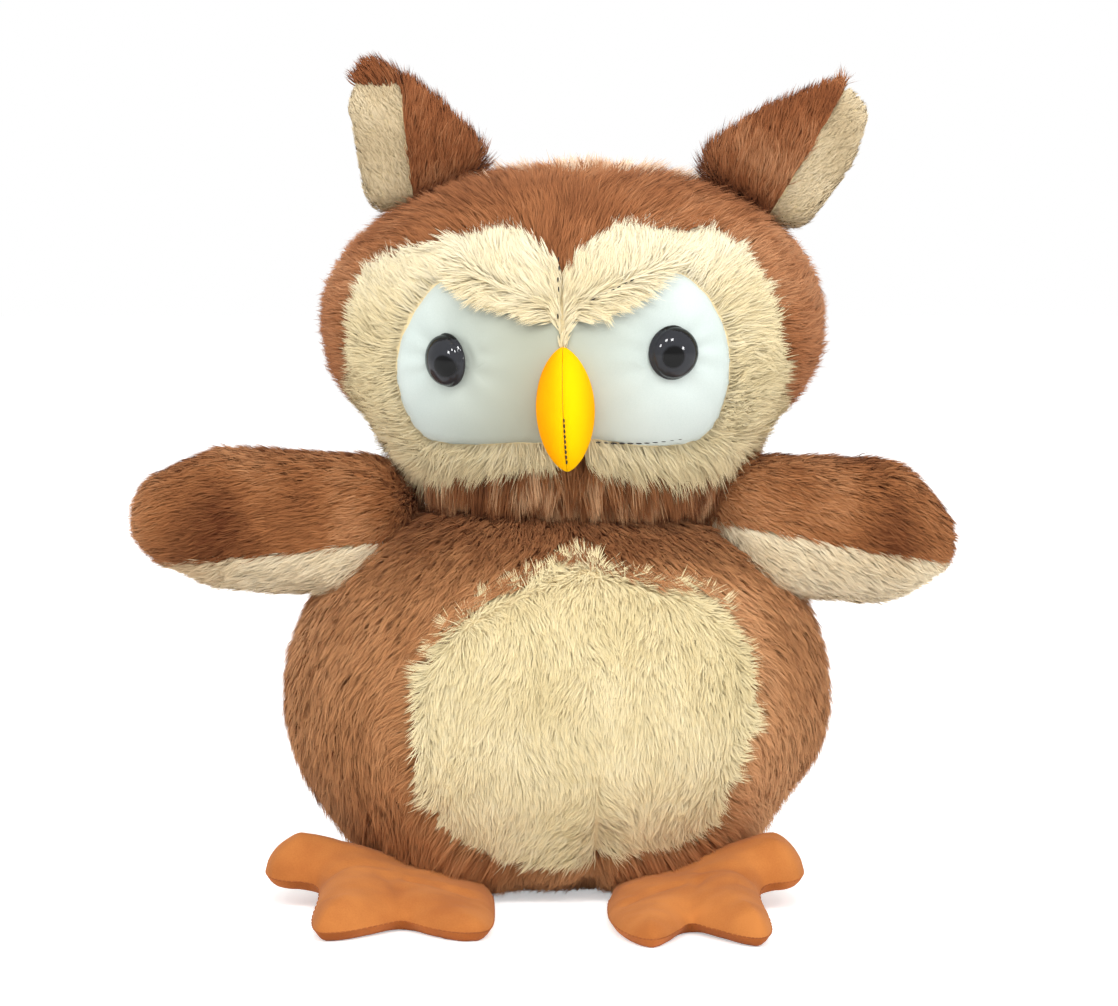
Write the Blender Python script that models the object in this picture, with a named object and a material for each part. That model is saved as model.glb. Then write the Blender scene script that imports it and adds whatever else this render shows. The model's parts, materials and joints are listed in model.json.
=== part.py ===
"""Plush owl: sewn skins over stuffing, with a turning head, wings, ears and feet.

Metres, +Z up, the owl faces -Y, and the origin is the middle of the flat seat it stands on.
Left and right are as seen from the front: left is -X.
"""
import math
from collections import namedtuple

import bmesh
import bpy
from mathutils import Matrix, Vector

# Cloth and clearances
GAP = 0.0003            # between two pieces that touch
PLUSH = 0.004           # plush with its pile laid flat
PILE = 0.003            # how far the pile stands above bare cloth
SATIN = 0.001           # smooth eye cloth
SUEDE = 0.0012          # foot cloth
FELT = 0.0012           # beak cloth
OVERRUN = 0.2           # how far a cutter runs past what it cuts

# Body: a rounded pear, widest at its waist
BODY_HALF_WIDTH = 0.0775
BODY_HALF_DEPTH = 0.068
BODY_RISE = 0.061
BODY_DROP = 0.056
BODY_SEAT_TRIM = 0.003  # the round bottom is pressed flat by this much
BODY_NECK_TRIM = 0.003  # and the round top by this much
BODY_UPPER_POWER = 2.5  # above 2 the profile is squarer than an ellipse
BODY_LOWER_POWER = 2.3
BELLY_HALF_WIDTH = 0.049
BELLY_HALF_HEIGHT = 0.049
BELLY_SHIFT = 0.0065    # the patch is sewn a little to the right
BELLY_LIFT = 0.001      # and its middle is this far above the waist

# Head: a wide rounded block that sits on the neck plane
HEAD_HALF_WIDTH = 0.072
HEAD_HALF_DEPTH = 0.057
HEAD_RISE = 0.0485
HEAD_DROP = 0.052
HEAD_UPPER_POWER = 2.4
HEAD_LOWER_POWER = 1.9
HEAD_SHIFT = 0.0045
HEAD_SEAT = 0.047       # from the neck plane up to the head's widest level
HEAD_TURN = math.radians(-3.5)
HEAD_ROLL = math.radians(-2.0)
NECK_HOLE_RADIUS = 0.026
NECK_HOLE_DEPTH = 0.012

# Face, eyes and beak, measured in the head's own frame
FACE_HALF_WIDTH = 0.0655
FACE_HALF_HEIGHT = 0.038
FACE_DROP = 0.0035      # the face's middle lies below the head's
EYE_PATCH_HALF_WIDTH = 0.0475
EYE_PATCH_HALF_HEIGHT = 0.0245
EYE_PATCH_DROP = 0.0040
EYE_LEFT_SPREAD = 0.0334   # eye centre from the face's seam
EYE_RIGHT_SPREAD = 0.0300
EYE_DROP = 0.0016
EYE_RADIUS = 0.0072
EYE_DOME = 0.0056
EYE_RIM = 0.0012
EYE_POST_RADIUS = 0.002
EYE_POST_LENGTH = 0.011
WASHER_RADIUS = 0.007
WASHER_THICKNESS = 0.0015
WASHER_DEPTH = 0.0062   # from the pile's surface in to the washer's face
FIT = 0.0002            # round a post
WELD = 0.000002         # points closer than this are one point
BEAK_HALF_WIDTH = 0.0082
BEAK_HALF_HEIGHT = 0.0176
BEAK_PROUD = 0.012      # how far the beak stands out from the pile
BEAK_DROP = 0.0160      # its middle below the head's

# Ears: cones of two cloths on a seam along the crown
EAR_ROOT_RADIUS = 0.011    # from the hinge down to the head
EAR_CORNER_RADIUS = 0.0095
EAR_BELLY_RADIUS = 0.0132
EAR_TIP_RADIUS = 0.0048
EAR_HALF_SPAN = 0.0085  # half the straight part of the base seam
EAR_DEPTH_SHARE = 0.75
EAR_BELLY_SHARE = 0.3
EAR_LEFT_OUT_SHARE = 0.5625  # how far out on the crown it is sewn, of the head's half width
EAR_LEFT_LENGTH = 0.0270
EAR_LEFT_LEAN = math.radians(25)
EAR_LEFT_SEAM_OUT = 0.003    # colour seam out from the hinge
EAR_LEFT_SEAM_LEAN = math.radians(11)
EAR_LEFT_CORNER_ALONG = 0.0200  # the blunt outer corner, up the ear from the hinge
EAR_LEFT_CORNER_OUT = 0.0062    # and out from the ear's middle line
EAR_RIGHT_OUT_SHARE = 0.729
EAR_RIGHT_LENGTH = 0.0290
EAR_RIGHT_LEAN = math.radians(43)
EAR_RIGHT_SEAM_OUT = 0.007
EAR_RIGHT_SEAM_LEAN = math.radians(31)
EAR_RIGHT_CORNER_ALONG = 0.0215
EAR_RIGHT_CORNER_OUT = 0.0080

# Wings: plump arms sewn along the slope of the shoulder
WING_SEAM_HEIGHT = 0.016  # shoulder seam's middle below the neck plane
WING_FORWARD = 0.004
WING_ROOT_RADIUS = 0.015  # from the hinge to the body
WING_TOP_RADIUS = 0.0125
WING_HALF_SPAN = 0.0085
WING_BELLY_RADIUS = 0.0187
WING_TIP_RADIUS = 0.0135
WING_BELLY_SHARE = 0.6
WING_DEPTH_SHARE = 0.85
WING_SEAM_DROP = 0.0075   # colour seam below the hinge
WING_SEAM_SLOPE = math.radians(5)
WING_LEFT_LENGTH = 0.0358
WING_LEFT_DROOP = math.radians(1)
WING_RIGHT_LENGTH = 0.0285
WING_RIGHT_DROOP = math.radians(14)

# Feet: flat cushions with three toes, heel under the body, toe tips on the floor
FOOT_RISE = 0.0110
FOOT_DIP = 0.0026         # sole's depth below its seam
FOOT_TILT = math.radians(7.4)
FOOT_PRESS = 0.0005       # toe tips are pressed flat by this much
HINGE_HEIGHT = 0.0190
SINK_START_SHARE = 0.85   # inwards from here the heel sinks under the body's weight
SINK_SPAN_SHARE = 0.5     # and this much further in it has sunk all the way
FOOT_LEFT_INNER = 0.0180  # from the middle to the foot's inner edge
FOOT_LEFT_WIDTH = 0.0655
FOOT_LEFT_REAR = 0.034    # from the middle forward to the heel
FOOT_LEFT_LENGTH = 0.0635
FOOT_LEFT_HINGE = 0.047   # from the middle to the middle of its seam
FOOT_LEFT_SINK = 0.0045   # how far the inner heel is pressed down
FOOT_RIGHT_INNER = 0.0135
FOOT_RIGHT_WIDTH = 0.0560
FOOT_RIGHT_REAR = 0.036
FOOT_RIGHT_LENGTH = 0.0690
FOOT_RIGHT_HINGE = 0.040
FOOT_RIGHT_SINK = 0.0060

# Fineness of the round forms
FORM_SEGMENTS = 24
FORM_RINGS = 14
BALL_SEGMENTS = 12
BALL_RINGS = 8
BEAK_RINGS = 10
ROUND_SEGMENTS = 16
NECK_SEGMENTS = 20
DOME_STEPS = 4
PATCH_STEPS = 2

# Levels that follow
WAIST_Z = BODY_DROP - BODY_SEAT_TRIM
NECK_Z = WAIST_Z + BODY_RISE - BODY_NECK_TRIM
HEAD_Z = NECK_Z + HEAD_SEAT

SIDES = {"left": -1, "right": 1}
EYE_SPREADS = {"left": EYE_LEFT_SPREAD, "right": EYE_RIGHT_SPREAD}
EAR_OUTS = {"left": EAR_LEFT_OUT_SHARE * HEAD_HALF_WIDTH, "right": EAR_RIGHT_OUT_SHARE * HEAD_HALF_WIDTH}

EarPlace = namedtuple("EarPlace", "out length lean seam_out seam_lean corner_along corner_out")
EARS = {
    "left": EarPlace(EAR_OUTS["left"], EAR_LEFT_LENGTH, EAR_LEFT_LEAN,
                     EAR_LEFT_SEAM_OUT, EAR_LEFT_SEAM_LEAN, EAR_LEFT_CORNER_ALONG, EAR_LEFT_CORNER_OUT),
    "right": EarPlace(EAR_OUTS["right"], EAR_RIGHT_LENGTH, EAR_RIGHT_LEAN,
                      EAR_RIGHT_SEAM_OUT, EAR_RIGHT_SEAM_LEAN, EAR_RIGHT_CORNER_ALONG,
                      EAR_RIGHT_CORNER_OUT),
}
WingPlace = namedtuple("WingPlace", "length droop")
WINGS = {
    "left": WingPlace(WING_LEFT_LENGTH, WING_LEFT_DROOP),
    "right": WingPlace(WING_RIGHT_LENGTH, WING_RIGHT_DROOP),
}
FootPlace = namedtuple("FootPlace", "inner width rear length hinge_x sink")
FEET = {
    "left": FootPlace(FOOT_LEFT_INNER, FOOT_LEFT_WIDTH, FOOT_LEFT_REAR, FOOT_LEFT_LENGTH,
                      FOOT_LEFT_HINGE, FOOT_LEFT_SINK),
    "right": FootPlace(FOOT_RIGHT_INNER, FOOT_RIGHT_WIDTH, FOOT_RIGHT_REAR, FOOT_RIGHT_LENGTH,
                       FOOT_RIGHT_HINGE, FOOT_RIGHT_SINK),
}

Form = namedtuple("Form", "width depth rise drop upper_power lower_power")
BODY = Form(BODY_HALF_WIDTH, BODY_HALF_DEPTH, BODY_RISE, BODY_DROP, BODY_UPPER_POWER, BODY_LOWER_POWER)
HEAD = Form(HEAD_HALF_WIDTH, HEAD_HALF_DEPTH, HEAD_RISE, HEAD_DROP, HEAD_UPPER_POWER, HEAD_LOWER_POWER)

# Outlines as shares of their half width and half height, anticlockwise from the front
BELLY_SHARES = [
    (0.02, 1.0), (-0.28, 0.86), (-0.62, 0.66), (-0.88, 0.36), (-1.0, 0.0), (-0.96, -0.36),
    (-0.82, -0.66), (-0.5, -0.92), (-0.12, -1.0), (0.3, -0.93), (0.64, -0.8), (0.86, -0.5),
    (1.0, -0.12), (0.98, 0.2), (0.8, 0.6), (0.5, 0.72), (0.28, 0.9),
]
FACE_SHARES = [
    (0.0, 0.84), (-0.22, 1.0), (-0.55, 0.98), (-0.82, 0.78), (-0.97, 0.4), (-1.0, 0.0),
    (-0.92, -0.42), (-0.7, -0.8), (-0.4, -1.0), (0.0, -0.96),
    (0.4, -1.0), (0.7, -0.8), (0.92, -0.42), (1.0, 0.0), (0.97, 0.4), (0.82, 0.78),
    (0.55, 0.98), (0.22, 1.0),
]
EYE_PATCH_SHARES = [
    (0.04, 0.47), (0.04, -0.86), (0.3, -0.92), (0.67, -0.95), (0.87, -0.84), (0.98, -0.45),
    (1.0, -0.04), (0.97, 0.37), (0.86, 0.73), (0.7, 1.0), (0.42, 0.75), (0.2, 0.54),
]
FOOT_SHARES = [
    (0.10, -0.02), (0.02, 0.25), (0.0, 0.55), (0.03, 0.82), (0.08, 0.96), (0.17, 1.0), (0.27, 0.93),
    (0.37, 0.79), (0.47, 0.9), (0.57, 0.98), (0.67, 0.99), (0.74, 0.9), (0.75, 0.7), (0.74, 0.45),
    (0.8, 0.31), (0.92, 0.29), (1.0, 0.17), (0.95, 0.02), (0.78, -0.05), (0.45, -0.07),
]
FOOT_CROWN_SHARE = (0.45, 0.14)
FOOT_RING_SHARES = (0.07, 0.25, 0.55)
SOLE_POWER = 4
BEAK_POINT_POWER = 1.35


def clear_scene():
    for obj in list(bpy.data.objects):
        bpy.data.objects.remove(obj)


def material(name, colour, roughness, metallic=0.0):
    made = bpy.data.materials.new(name)
    made.use_nodes = True
    shader = made.node_tree.nodes["Principled BSDF"]
    shader.inputs["Base Color"].default_value = (*colour, 1.0)
    shader.inputs["Roughness"].default_value = roughness
    shader.inputs["Metallic"].default_value = metallic
    made.diffuse_color = (*colour, 1.0)
    return made


# Blown-up forms

def level_share(form, z, inset=0.0):
    """How far out the form reaches at a height, as a share of its half width."""
    if z > 0:
        height, power = form.rise - inset, form.upper_power
    else:
        height, power = form.drop - inset, form.lower_power
    return (1 - min(1.0, abs(z) / height) ** power) ** (1 / power)


def front_y(form, x, z, inset=0.0):
    """The front surface's place at a point of the front view."""
    reach = level_share(form, z, inset)
    across = min(reach, abs(x) / (form.width - inset))
    return -(form.depth - inset) * math.sqrt(reach ** 2 - across ** 2)


def side_x(form, y, z, inset=0.0):
    """The side surface's place at a point of the side view."""
    reach = level_share(form, z, inset)
    along = min(reach, abs(y) / (form.depth - inset))
    return (form.width - inset) * math.sqrt(reach ** 2 - along ** 2)


def form_normal(form, point):
    """Direction that points straight out of the form at a point of its surface."""
    x, y, z = point
    ring = math.hypot(x / form.width, y / form.depth)
    height = form.rise if z > 0 else form.drop
    power = form.upper_power if z > 0 else form.lower_power
    flat = ring ** (power - 2)
    slope = math.copysign((abs(z) / height) ** (power - 1) / height, z)
    return Vector((flat * x / form.width ** 2, flat * y / form.depth ** 2, slope)).normalized()


def form_mesh(form, inset=0.0):
    """Closed mesh of a form, centred on its widest level."""
    mesh = bmesh.new()
    bmesh.ops.create_uvsphere(mesh, u_segments=FORM_SEGMENTS, v_segments=FORM_RINGS, radius=1)
    for vert in mesh.verts:
        x, y, z = vert.co
        level = math.hypot(x, y)
        power = form.upper_power if z > 0 else form.lower_power
        height = form.rise if z > 0 else form.drop
        spread = level ** (2 / power) / level if level > 0 else 1
        vert.co = (
            x * spread * (form.width - inset),
            y * spread * (form.depth - inset),
            math.copysign(abs(z) ** (2 / power), z) * (height - inset),
        )
    return mesh


def ball_hull(balls, depth_share, axis, inset=0.0):
    """The skin stretched over a few balls with poles along an axis, flattened from front to back."""
    mesh = bmesh.new()
    back = Vector((0, 1, 0))
    turn = Matrix((back.cross(axis), back, axis)).transposed().to_4x4()
    for centre, radius in balls:
        flat = Matrix.Diagonal((1, depth_share, 1, 1))
        bmesh.ops.create_uvsphere(
            mesh, u_segments=BALL_SEGMENTS, v_segments=BALL_RINGS, radius=radius - inset,
            matrix=Matrix.Translation(centre) @ turn @ flat)
    bmesh.ops.delete(mesh, geom=mesh.edges[:], context="EDGES_FACES")
    hull = bmesh.ops.convex_hull(mesh, input=mesh.verts[:])
    spare = hull["geom_interior"] + hull["geom_unused"]
    inside = [v for v in spare if isinstance(v, bmesh.types.BMVert)]
    bmesh.ops.delete(mesh, geom=list(set(inside)), context="VERTS")
    return mesh


def trim(mesh, point, normal):
    """Cut away what lies on the normal's side of a plane and close the cut."""
    geom = mesh.verts[:] + mesh.edges[:] + mesh.faces[:]
    cut = bmesh.ops.bisect_plane(mesh, geom=geom, plane_co=point, plane_no=normal, clear_outer=True)
    edges = [e for e in cut["geom_cut"] if isinstance(e, bmesh.types.BMEdge)]
    bmesh.ops.edgeloop_fill(mesh, edges=edges)
    return mesh


def smooth_loop(points, steps=PATCH_STEPS):
    """A closed smooth curve through the points of an outline."""
    loop = []
    count = len(points)
    for index in range(count):
        before, start, end, after = (Vector(points[(index + k) % count]) for k in (-1, 0, 1, 2))
        for step in range(steps):
            t = step / steps
            loop.append(
                ((-before + 3 * start - 3 * end + after) * t ** 3
                 + (2 * before - 5 * start + 4 * end - after) * t ** 2
                 + (end - before) * t + 2 * start) / 2)
    return loop


def grow_loop(loop, distance):
    """The loop moved outwards by a distance, or inwards where it is negative."""
    area = sum(a.cross(b) for a, b in zip(loop, loop[1:] + loop[:1]))
    grown = []
    for index, point in enumerate(loop):
        along = (loop[(index + 1) % len(loop)] - loop[index - 1]).normalized()
        outward = Vector((along.y, -along.x)) * math.copysign(1, area)
        grown.append(point + outward * distance)
    return grown


def front_prism(loop, back=0.0):
    """A solid that runs forward from the back plane along the view from the front."""
    mesh = bmesh.new()
    face = mesh.faces.new([mesh.verts.new((p.x, back, p.y)) for p in loop])
    grown = bmesh.ops.extrude_face_region(mesh, geom=[face])
    moved = [v for v in grown["geom"] if isinstance(v, bmesh.types.BMVert)]
    bmesh.ops.translate(mesh, verts=moved, vec=(0, -OVERRUN, 0))
    return mesh


def place_shares(shares, half_width, half_height, shift=0.0, lift=0.0):
    return [Vector((u * half_width + shift, w * half_height + lift)) for u, w in shares]


def rod(radius, start, end, direction, origin, segments=ROUND_SEGMENTS):
    """A round bar along a direction, between two distances from its origin."""
    mesh = bmesh.new()
    turn = direction.to_track_quat("Z", "Y").to_matrix().to_4x4()
    middle = Matrix.Translation(origin + direction * (start + end) / 2) @ turn
    bmesh.ops.create_cone(mesh, cap_ends=True, segments=segments, radius1=radius, radius2=radius,
                          depth=abs(end - start), matrix=middle)
    return mesh


def turned(profile, direction, origin, segments=ROUND_SEGMENTS):
    """A round piece from its half profile of radius and height pairs."""
    mesh = bmesh.new()
    verts = [mesh.verts.new((radius, 0, height)) for radius, height in profile]
    edges = [mesh.edges.new(pair) for pair in zip(verts, verts[1:])]
    bmesh.ops.spin(mesh, geom=verts + edges, cent=(0, 0, 0), axis=(0, 0, 1), angle=2 * math.pi,
                   steps=segments, use_merge=True)
    bmesh.ops.remove_doubles(mesh, verts=mesh.verts[:], dist=WELD)
    turn = direction.to_track_quat("Z", "Y").to_matrix().to_4x4()
    bmesh.ops.transform(mesh, matrix=Matrix.Translation(origin) @ turn, verts=mesh.verts[:])
    return mesh


def pillow(loop, crown, rise, dip):
    """A cushion on an outline: a dome above the seam plane and a flat dish below it."""
    mesh = bmesh.new()
    seam = {mesh.verts.new((p.x, p.y, 0)): p for p in loop}
    verts = list(seam)
    edges = [mesh.edges.new(pair) for pair in zip(verts, verts[1:] + verts[:1])]
    for height, power in ((rise, 2), (-dip, SOLE_POWER)):
        home, ring = dict(seam), edges
        for share in (*FOOT_RING_SHARES, 1):
            grown = bmesh.ops.extrude_edge_only(mesh, edges=ring)["geom"]
            fresh = {}
            for vert in (g for g in grown if isinstance(g, bmesh.types.BMVert)):
                others = (e.other_vert(vert) for e in vert.link_edges)
                fresh[vert] = next(home[v] for v in others if v in home)
            edges_grown = (g for g in grown if isinstance(g, bmesh.types.BMEdge))
            ring = [e for e in edges_grown if all(v in fresh for v in e.verts)]
            lift = height * (1 - (1 - share) ** power) ** (1 / power)
            for vert, point in fresh.items():
                vert.co = point.lerp(crown, share).to_3d()
                vert.co.z = lift
            home.update(fresh)
        bmesh.ops.remove_doubles(mesh, verts=list(fresh), dist=GAP)
    return mesh


def finish(name, mesh, skin, frame=Matrix(), pivot=None, cuts=()):
    """Make an object of a mesh that is given in a frame, carried by a pivot."""
    bmesh.ops.transform(mesh, matrix=frame, verts=mesh.verts[:])
    bmesh.ops.recalc_face_normals(mesh, faces=mesh.faces[:])
    data = bpy.data.meshes.new(name)
    mesh.to_mesh(data)
    mesh.free()
    obj = bpy.data.objects.new(name, data)
    bpy.context.scene.collection.objects.link(obj)
    if skin is None:
        obj.hide_render = True
        obj.display_type = "WIRE"
    else:
        data.materials.append(skin)
    if pivot is not None:
        data.transform(PIVOTS[pivot].inverted())
        obj.parent = bpy.data.objects[pivot]
    for number, (operation, cutter) in enumerate(cuts):
        cut = obj.modifiers.new(f"{operation.lower()}_{number}", "BOOLEAN")
        cut.operation = operation
        cut.object = cutter
        cut.solver = "EXACT"
    return obj


# Places that the moving pieces turn about

def hinge_frame(point, axis):
    """A frame at a point whose Z runs along the hinge's axis."""
    turn = axis.to_track_quat("Z", "Y").to_matrix().to_4x4()
    return Matrix.Translation(point) @ turn


HEAD_FRAME = (Matrix.Translation((HEAD_SHIFT, 0, HEAD_Z))
              @ Matrix.Rotation(HEAD_TURN, 4, "Z") @ Matrix.Rotation(HEAD_ROLL, 4, "Y"))
BODY_FRAME = Matrix.Translation((0, 0, WAIST_Z))


def seam_point(form, side, out, z):
    """A point where a limb's seam touches a form in its XZ plane, and the way out from there."""
    point = Vector((side * out, 0, z))
    return point, form_normal(form, point)


def ear_hinge(side_name):
    """Middle and direction of an ear's base seam, in the head's frame."""
    side, ear = SIDES[side_name], EARS[side_name]
    height = HEAD.rise * (1 - (ear.out / HEAD.width) ** HEAD.upper_power) ** (1 / HEAD.upper_power)
    point, normal = seam_point(HEAD, side, ear.out, height)
    axis = Vector((normal.z, 0, -normal.x)) * side
    return point + normal * (EAR_ROOT_RADIUS + GAP), axis


def wing_hinge(side_name):
    """Middle and direction of a wing's shoulder seam, in the world."""
    side = SIDES[side_name]
    height = NECK_Z - WING_SEAM_HEIGHT - WAIST_Z
    point, normal = seam_point(BODY, side, side_x(BODY, 0, height), height)
    axis = Vector((normal.z, 0, -normal.x)) * side
    middle = point + normal * (WING_ROOT_RADIUS + GAP)
    return middle + Vector((0, -WING_FORWARD, WAIST_Z)), axis


def foot_hinge(side_name):
    """Middle and direction of the line that a foot lifts about, in the world."""
    foot = FEET[side_name]
    side, height = SIDES[side_name], HINGE_HEIGHT - WAIST_Z
    x = side * foot.hinge_x
    point = Vector((x, front_y(BODY, x, height), height))
    normal = form_normal(BODY, point)
    flat = Vector((normal.x, normal.y, 0)).normalized()
    return point + normal * GAP + Vector((0, 0, WAIST_Z)), Vector((flat.y, -flat.x, 0))


PIVOTS = {"hinge_head": hinge_frame(Vector((HEAD_SHIFT, 0, NECK_Z)), Vector((0, 0, 1)))}
for name in SIDES:
    middle, axis = ear_hinge(name)
    PIVOTS[f"hinge_ear_{name}"] = hinge_frame(HEAD_FRAME @ middle, (HEAD_FRAME.to_3x3() @ axis))
    PIVOTS[f"hinge_wing_{name}"] = hinge_frame(*wing_hinge(name))
    PIVOTS[f"hinge_foot_{name}"] = hinge_frame(*foot_hinge(name))


def make_pivots():
    for name, frame in PIVOTS.items():
        pivot = bpy.data.objects.new(name, None)
        pivot.empty_display_size = EYE_RADIUS
        bpy.context.scene.collection.objects.link(pivot)
        if name.startswith("hinge_ear"):
            pivot.parent = bpy.data.objects["hinge_head"]
            frame = PIVOTS["hinge_head"].inverted() @ frame
        pivot.matrix_basis = frame
        print(name, "at", [round(c, 6) for c in PIVOTS[name].translation],
              "along", [round(c, 6) for c in PIVOTS[name].col[2].to_3d()])


def make_body():
    brown = material("brown_plush_body", (0.31, 0.13, 0.05), 0.95)
    cream = material("cream_plush_belly", (0.75, 0.62, 0.38), 0.95)
    filling = material("filling_body", (0.9, 0.9, 0.88), 1.0)
    patch = smooth_loop(place_shares(
        BELLY_SHARES, BELLY_HALF_WIDTH, BELLY_HALF_HEIGHT, BELLY_SHIFT, BELLY_LIFT))
    seat = Vector((0, 0, BODY_SEAT_TRIM - BODY_DROP))
    neck = Vector((0, 0, NECK_Z - WAIST_Z))
    axis = Vector((HEAD_SHIFT, 0, 0))
    up = Vector((0, 0, 1))

    inner = finish("cut_body_inside", form_mesh(BODY, PLUSH), None, BODY_FRAME)
    outer = finish("cut_body_outside", form_mesh(BODY), None, BODY_FRAME)
    opening = finish("cut_belly_opening", front_prism(grow_loop(patch, GAP / 2)), None, BODY_FRAME)
    bottom = neck.z - NECK_HOLE_DEPTH
    bore = rod(NECK_HOLE_RADIUS, bottom, neck.z + OVERRUN, up, axis, NECK_SEGMENTS)
    hole = finish("cut_body_neck_hole", bore, None, BODY_FRAME)

    skin = trim(trim(form_mesh(BODY), seat, -up), neck - up * GAP / 2, up)
    finish("body_skin", skin, brown, BODY_FRAME, None,
           [("DIFFERENCE", inner), ("DIFFERENCE", opening), ("DIFFERENCE", hole)])
    finish("belly_panel", front_prism(grow_loop(patch, -GAP / 2)), cream, BODY_FRAME, None,
           [("INTERSECT", outer), ("DIFFERENCE", inner)])

    stub = rod(NECK_HOLE_RADIUS - GAP, bottom, neck.z - GAP / 2, up, axis, NECK_SEGMENTS)
    plug = finish("cut_body_neck_plug", stub, None, BODY_FRAME)
    fill = trim(form_mesh(BODY, PLUSH + GAP), seat + up * (PLUSH + GAP), -up)
    finish("body_stuffing", fill, filling, BODY_FRAME, None, [("UNION", plug)])


def make_head():
    brown = material("brown_plush_head", (0.33, 0.14, 0.06), 0.95)
    cream = material("cream_plush_face", (0.78, 0.66, 0.42), 0.95)
    satin = material("white_satin_eye_patch", (0.75, 0.8, 0.8), 0.4)
    filling = material("filling_head", (0.9, 0.9, 0.88), 1.0)
    to_head = HEAD_FRAME.inverted()
    up = to_head.to_3x3() @ Vector((0, 0, 1))
    across = Vector((1, 0, 0))
    neck = to_head @ Vector((HEAD_SHIFT, 0, NECK_Z))
    face = smooth_loop(place_shares(FACE_SHARES, FACE_HALF_WIDTH, FACE_HALF_HEIGHT, 0, -FACE_DROP))

    outer = finish("cut_head_outside", form_mesh(HEAD), None, HEAD_FRAME)
    inner = finish("cut_head_inside", form_mesh(HEAD, PLUSH), None, HEAD_FRAME)
    satin_outer = finish("cut_satin_outside", form_mesh(HEAD, PILE), None, HEAD_FRAME)
    satin_inner = finish("cut_satin_inside", form_mesh(HEAD, PILE + SATIN), None, HEAD_FRAME)
    opening = finish("cut_face_opening", front_prism(grow_loop(face, GAP / 2)), None, HEAD_FRAME)
    bore = rod(NECK_HOLE_RADIUS, -OVERRUN, NECK_HOLE_DEPTH, up, neck, NECK_SEGMENTS)
    hole = finish("cut_head_neck_hole", bore, None, HEAD_FRAME)

    skin = trim(form_mesh(HEAD), neck + up * GAP / 2, -up)
    finish("head_skin", skin, brown, HEAD_FRAME, "hinge_head",
           [("DIFFERENCE", inner), ("DIFFERENCE", opening), ("DIFFERENCE", hole)])

    for name, side in SIDES.items():
        places = place_shares(
            EYE_PATCH_SHARES, EYE_PATCH_HALF_WIDTH, EYE_PATCH_HALF_HEIGHT, 0, -EYE_PATCH_DROP)
        patch = smooth_loop([Vector((side * p.x, p.y)) for p in places])
        patch = [Vector((-side * abs(p.x), p.y)) if side * p.x < 0 else p for p in patch]
        window = front_prism(grow_loop(patch, GAP / 2))
        eye_hole = finish(f"cut_eye_opening_{name}", window, None, HEAD_FRAME)
        half_face = trim(front_prism(grow_loop(face, -GAP / 2)), across * side * GAP / 2, -across * side)
        finish(f"face_panel_{name}", half_face, cream, HEAD_FRAME, "hinge_head",
               [("INTERSECT", outer), ("DIFFERENCE", inner), ("DIFFERENCE", eye_hole)])
        post = make_eye(name, side)
        half_patch = trim(front_prism(grow_loop(patch, -GAP / 2)), across * side * GAP / 2, -across * side)
        finish(f"eye_panel_{name}", half_patch, satin, HEAD_FRAME, "hinge_head",
               [("INTERSECT", satin_outer), ("DIFFERENCE", satin_inner), ("DIFFERENCE", post)])

    stub = rod(NECK_HOLE_RADIUS - GAP, GAP / 2, NECK_HOLE_DEPTH, up, neck, NECK_SEGMENTS)
    plug = finish("cut_head_neck_plug", stub, None, HEAD_FRAME)
    fill = trim(form_mesh(HEAD, PILE + SATIN + GAP), neck + up * GAP / 2, -up)
    sockets = [bpy.data.objects[f"cut_eye_socket_{name}"] for name in SIDES]
    finish("head_stuffing", fill, filling, HEAD_FRAME, "hinge_head",
           [("UNION", plug)] + [("DIFFERENCE", socket) for socket in sockets])
    make_beak()


def make_eye(name, side):
    """A domed safety eye on its post, with the lock washer behind the cloth."""
    black = material(f"black_eye_{name}", (0.012, 0.012, 0.014), 0.08)
    white = material(f"washer_{name}", (0.85, 0.85, 0.83), 0.5)
    x, z = side * EYE_SPREADS[name], -EYE_DROP
    seat = Vector((x, front_y(HEAD, x, z, PILE), z))
    out = form_normal(HEAD, seat)
    arc = [step / DOME_STEPS * math.pi / 2 for step in range(DOME_STEPS)]
    dome = [(EYE_RADIUS * math.cos(a), EYE_RIM + (EYE_DOME - EYE_RIM) * math.sin(a)) for a in arc]
    profile = [
        (0, -EYE_POST_LENGTH), (EYE_POST_RADIUS, -EYE_POST_LENGTH), (EYE_POST_RADIUS, 0),
        (EYE_RADIUS, 0)]
    finish(f"eye_{name}", turned(profile + dome + [(0, EYE_DOME)], out, seat + out * GAP), black,
           HEAD_FRAME, "hinge_head")

    bore = rod(EYE_POST_RADIUS + FIT, -OVERRUN / 2, OVERRUN / 2, out, seat)
    post = finish(f"cut_eye_post_{name}", bore, None, HEAD_FRAME)
    face = PILE - WASHER_DEPTH
    disc = rod(WASHER_RADIUS, face - WASHER_THICKNESS, face, out, seat)
    finish(f"eye_washer_{name}", disc, white, HEAD_FRAME, "hinge_head", [("DIFFERENCE", post)])
    socket = turned([
        (0, -EYE_POST_LENGTH - GAP), (EYE_POST_RADIUS + FIT, -EYE_POST_LENGTH - GAP),
        (EYE_POST_RADIUS + FIT, face - WASHER_THICKNESS - GAP),
        (WASHER_RADIUS + GAP, face - WASHER_THICKNESS - GAP),
        (WASHER_RADIUS + GAP, OVERRUN), (0, OVERRUN)], out, seat)
    finish(f"cut_eye_socket_{name}", socket, None, HEAD_FRAME)
    return post


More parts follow.
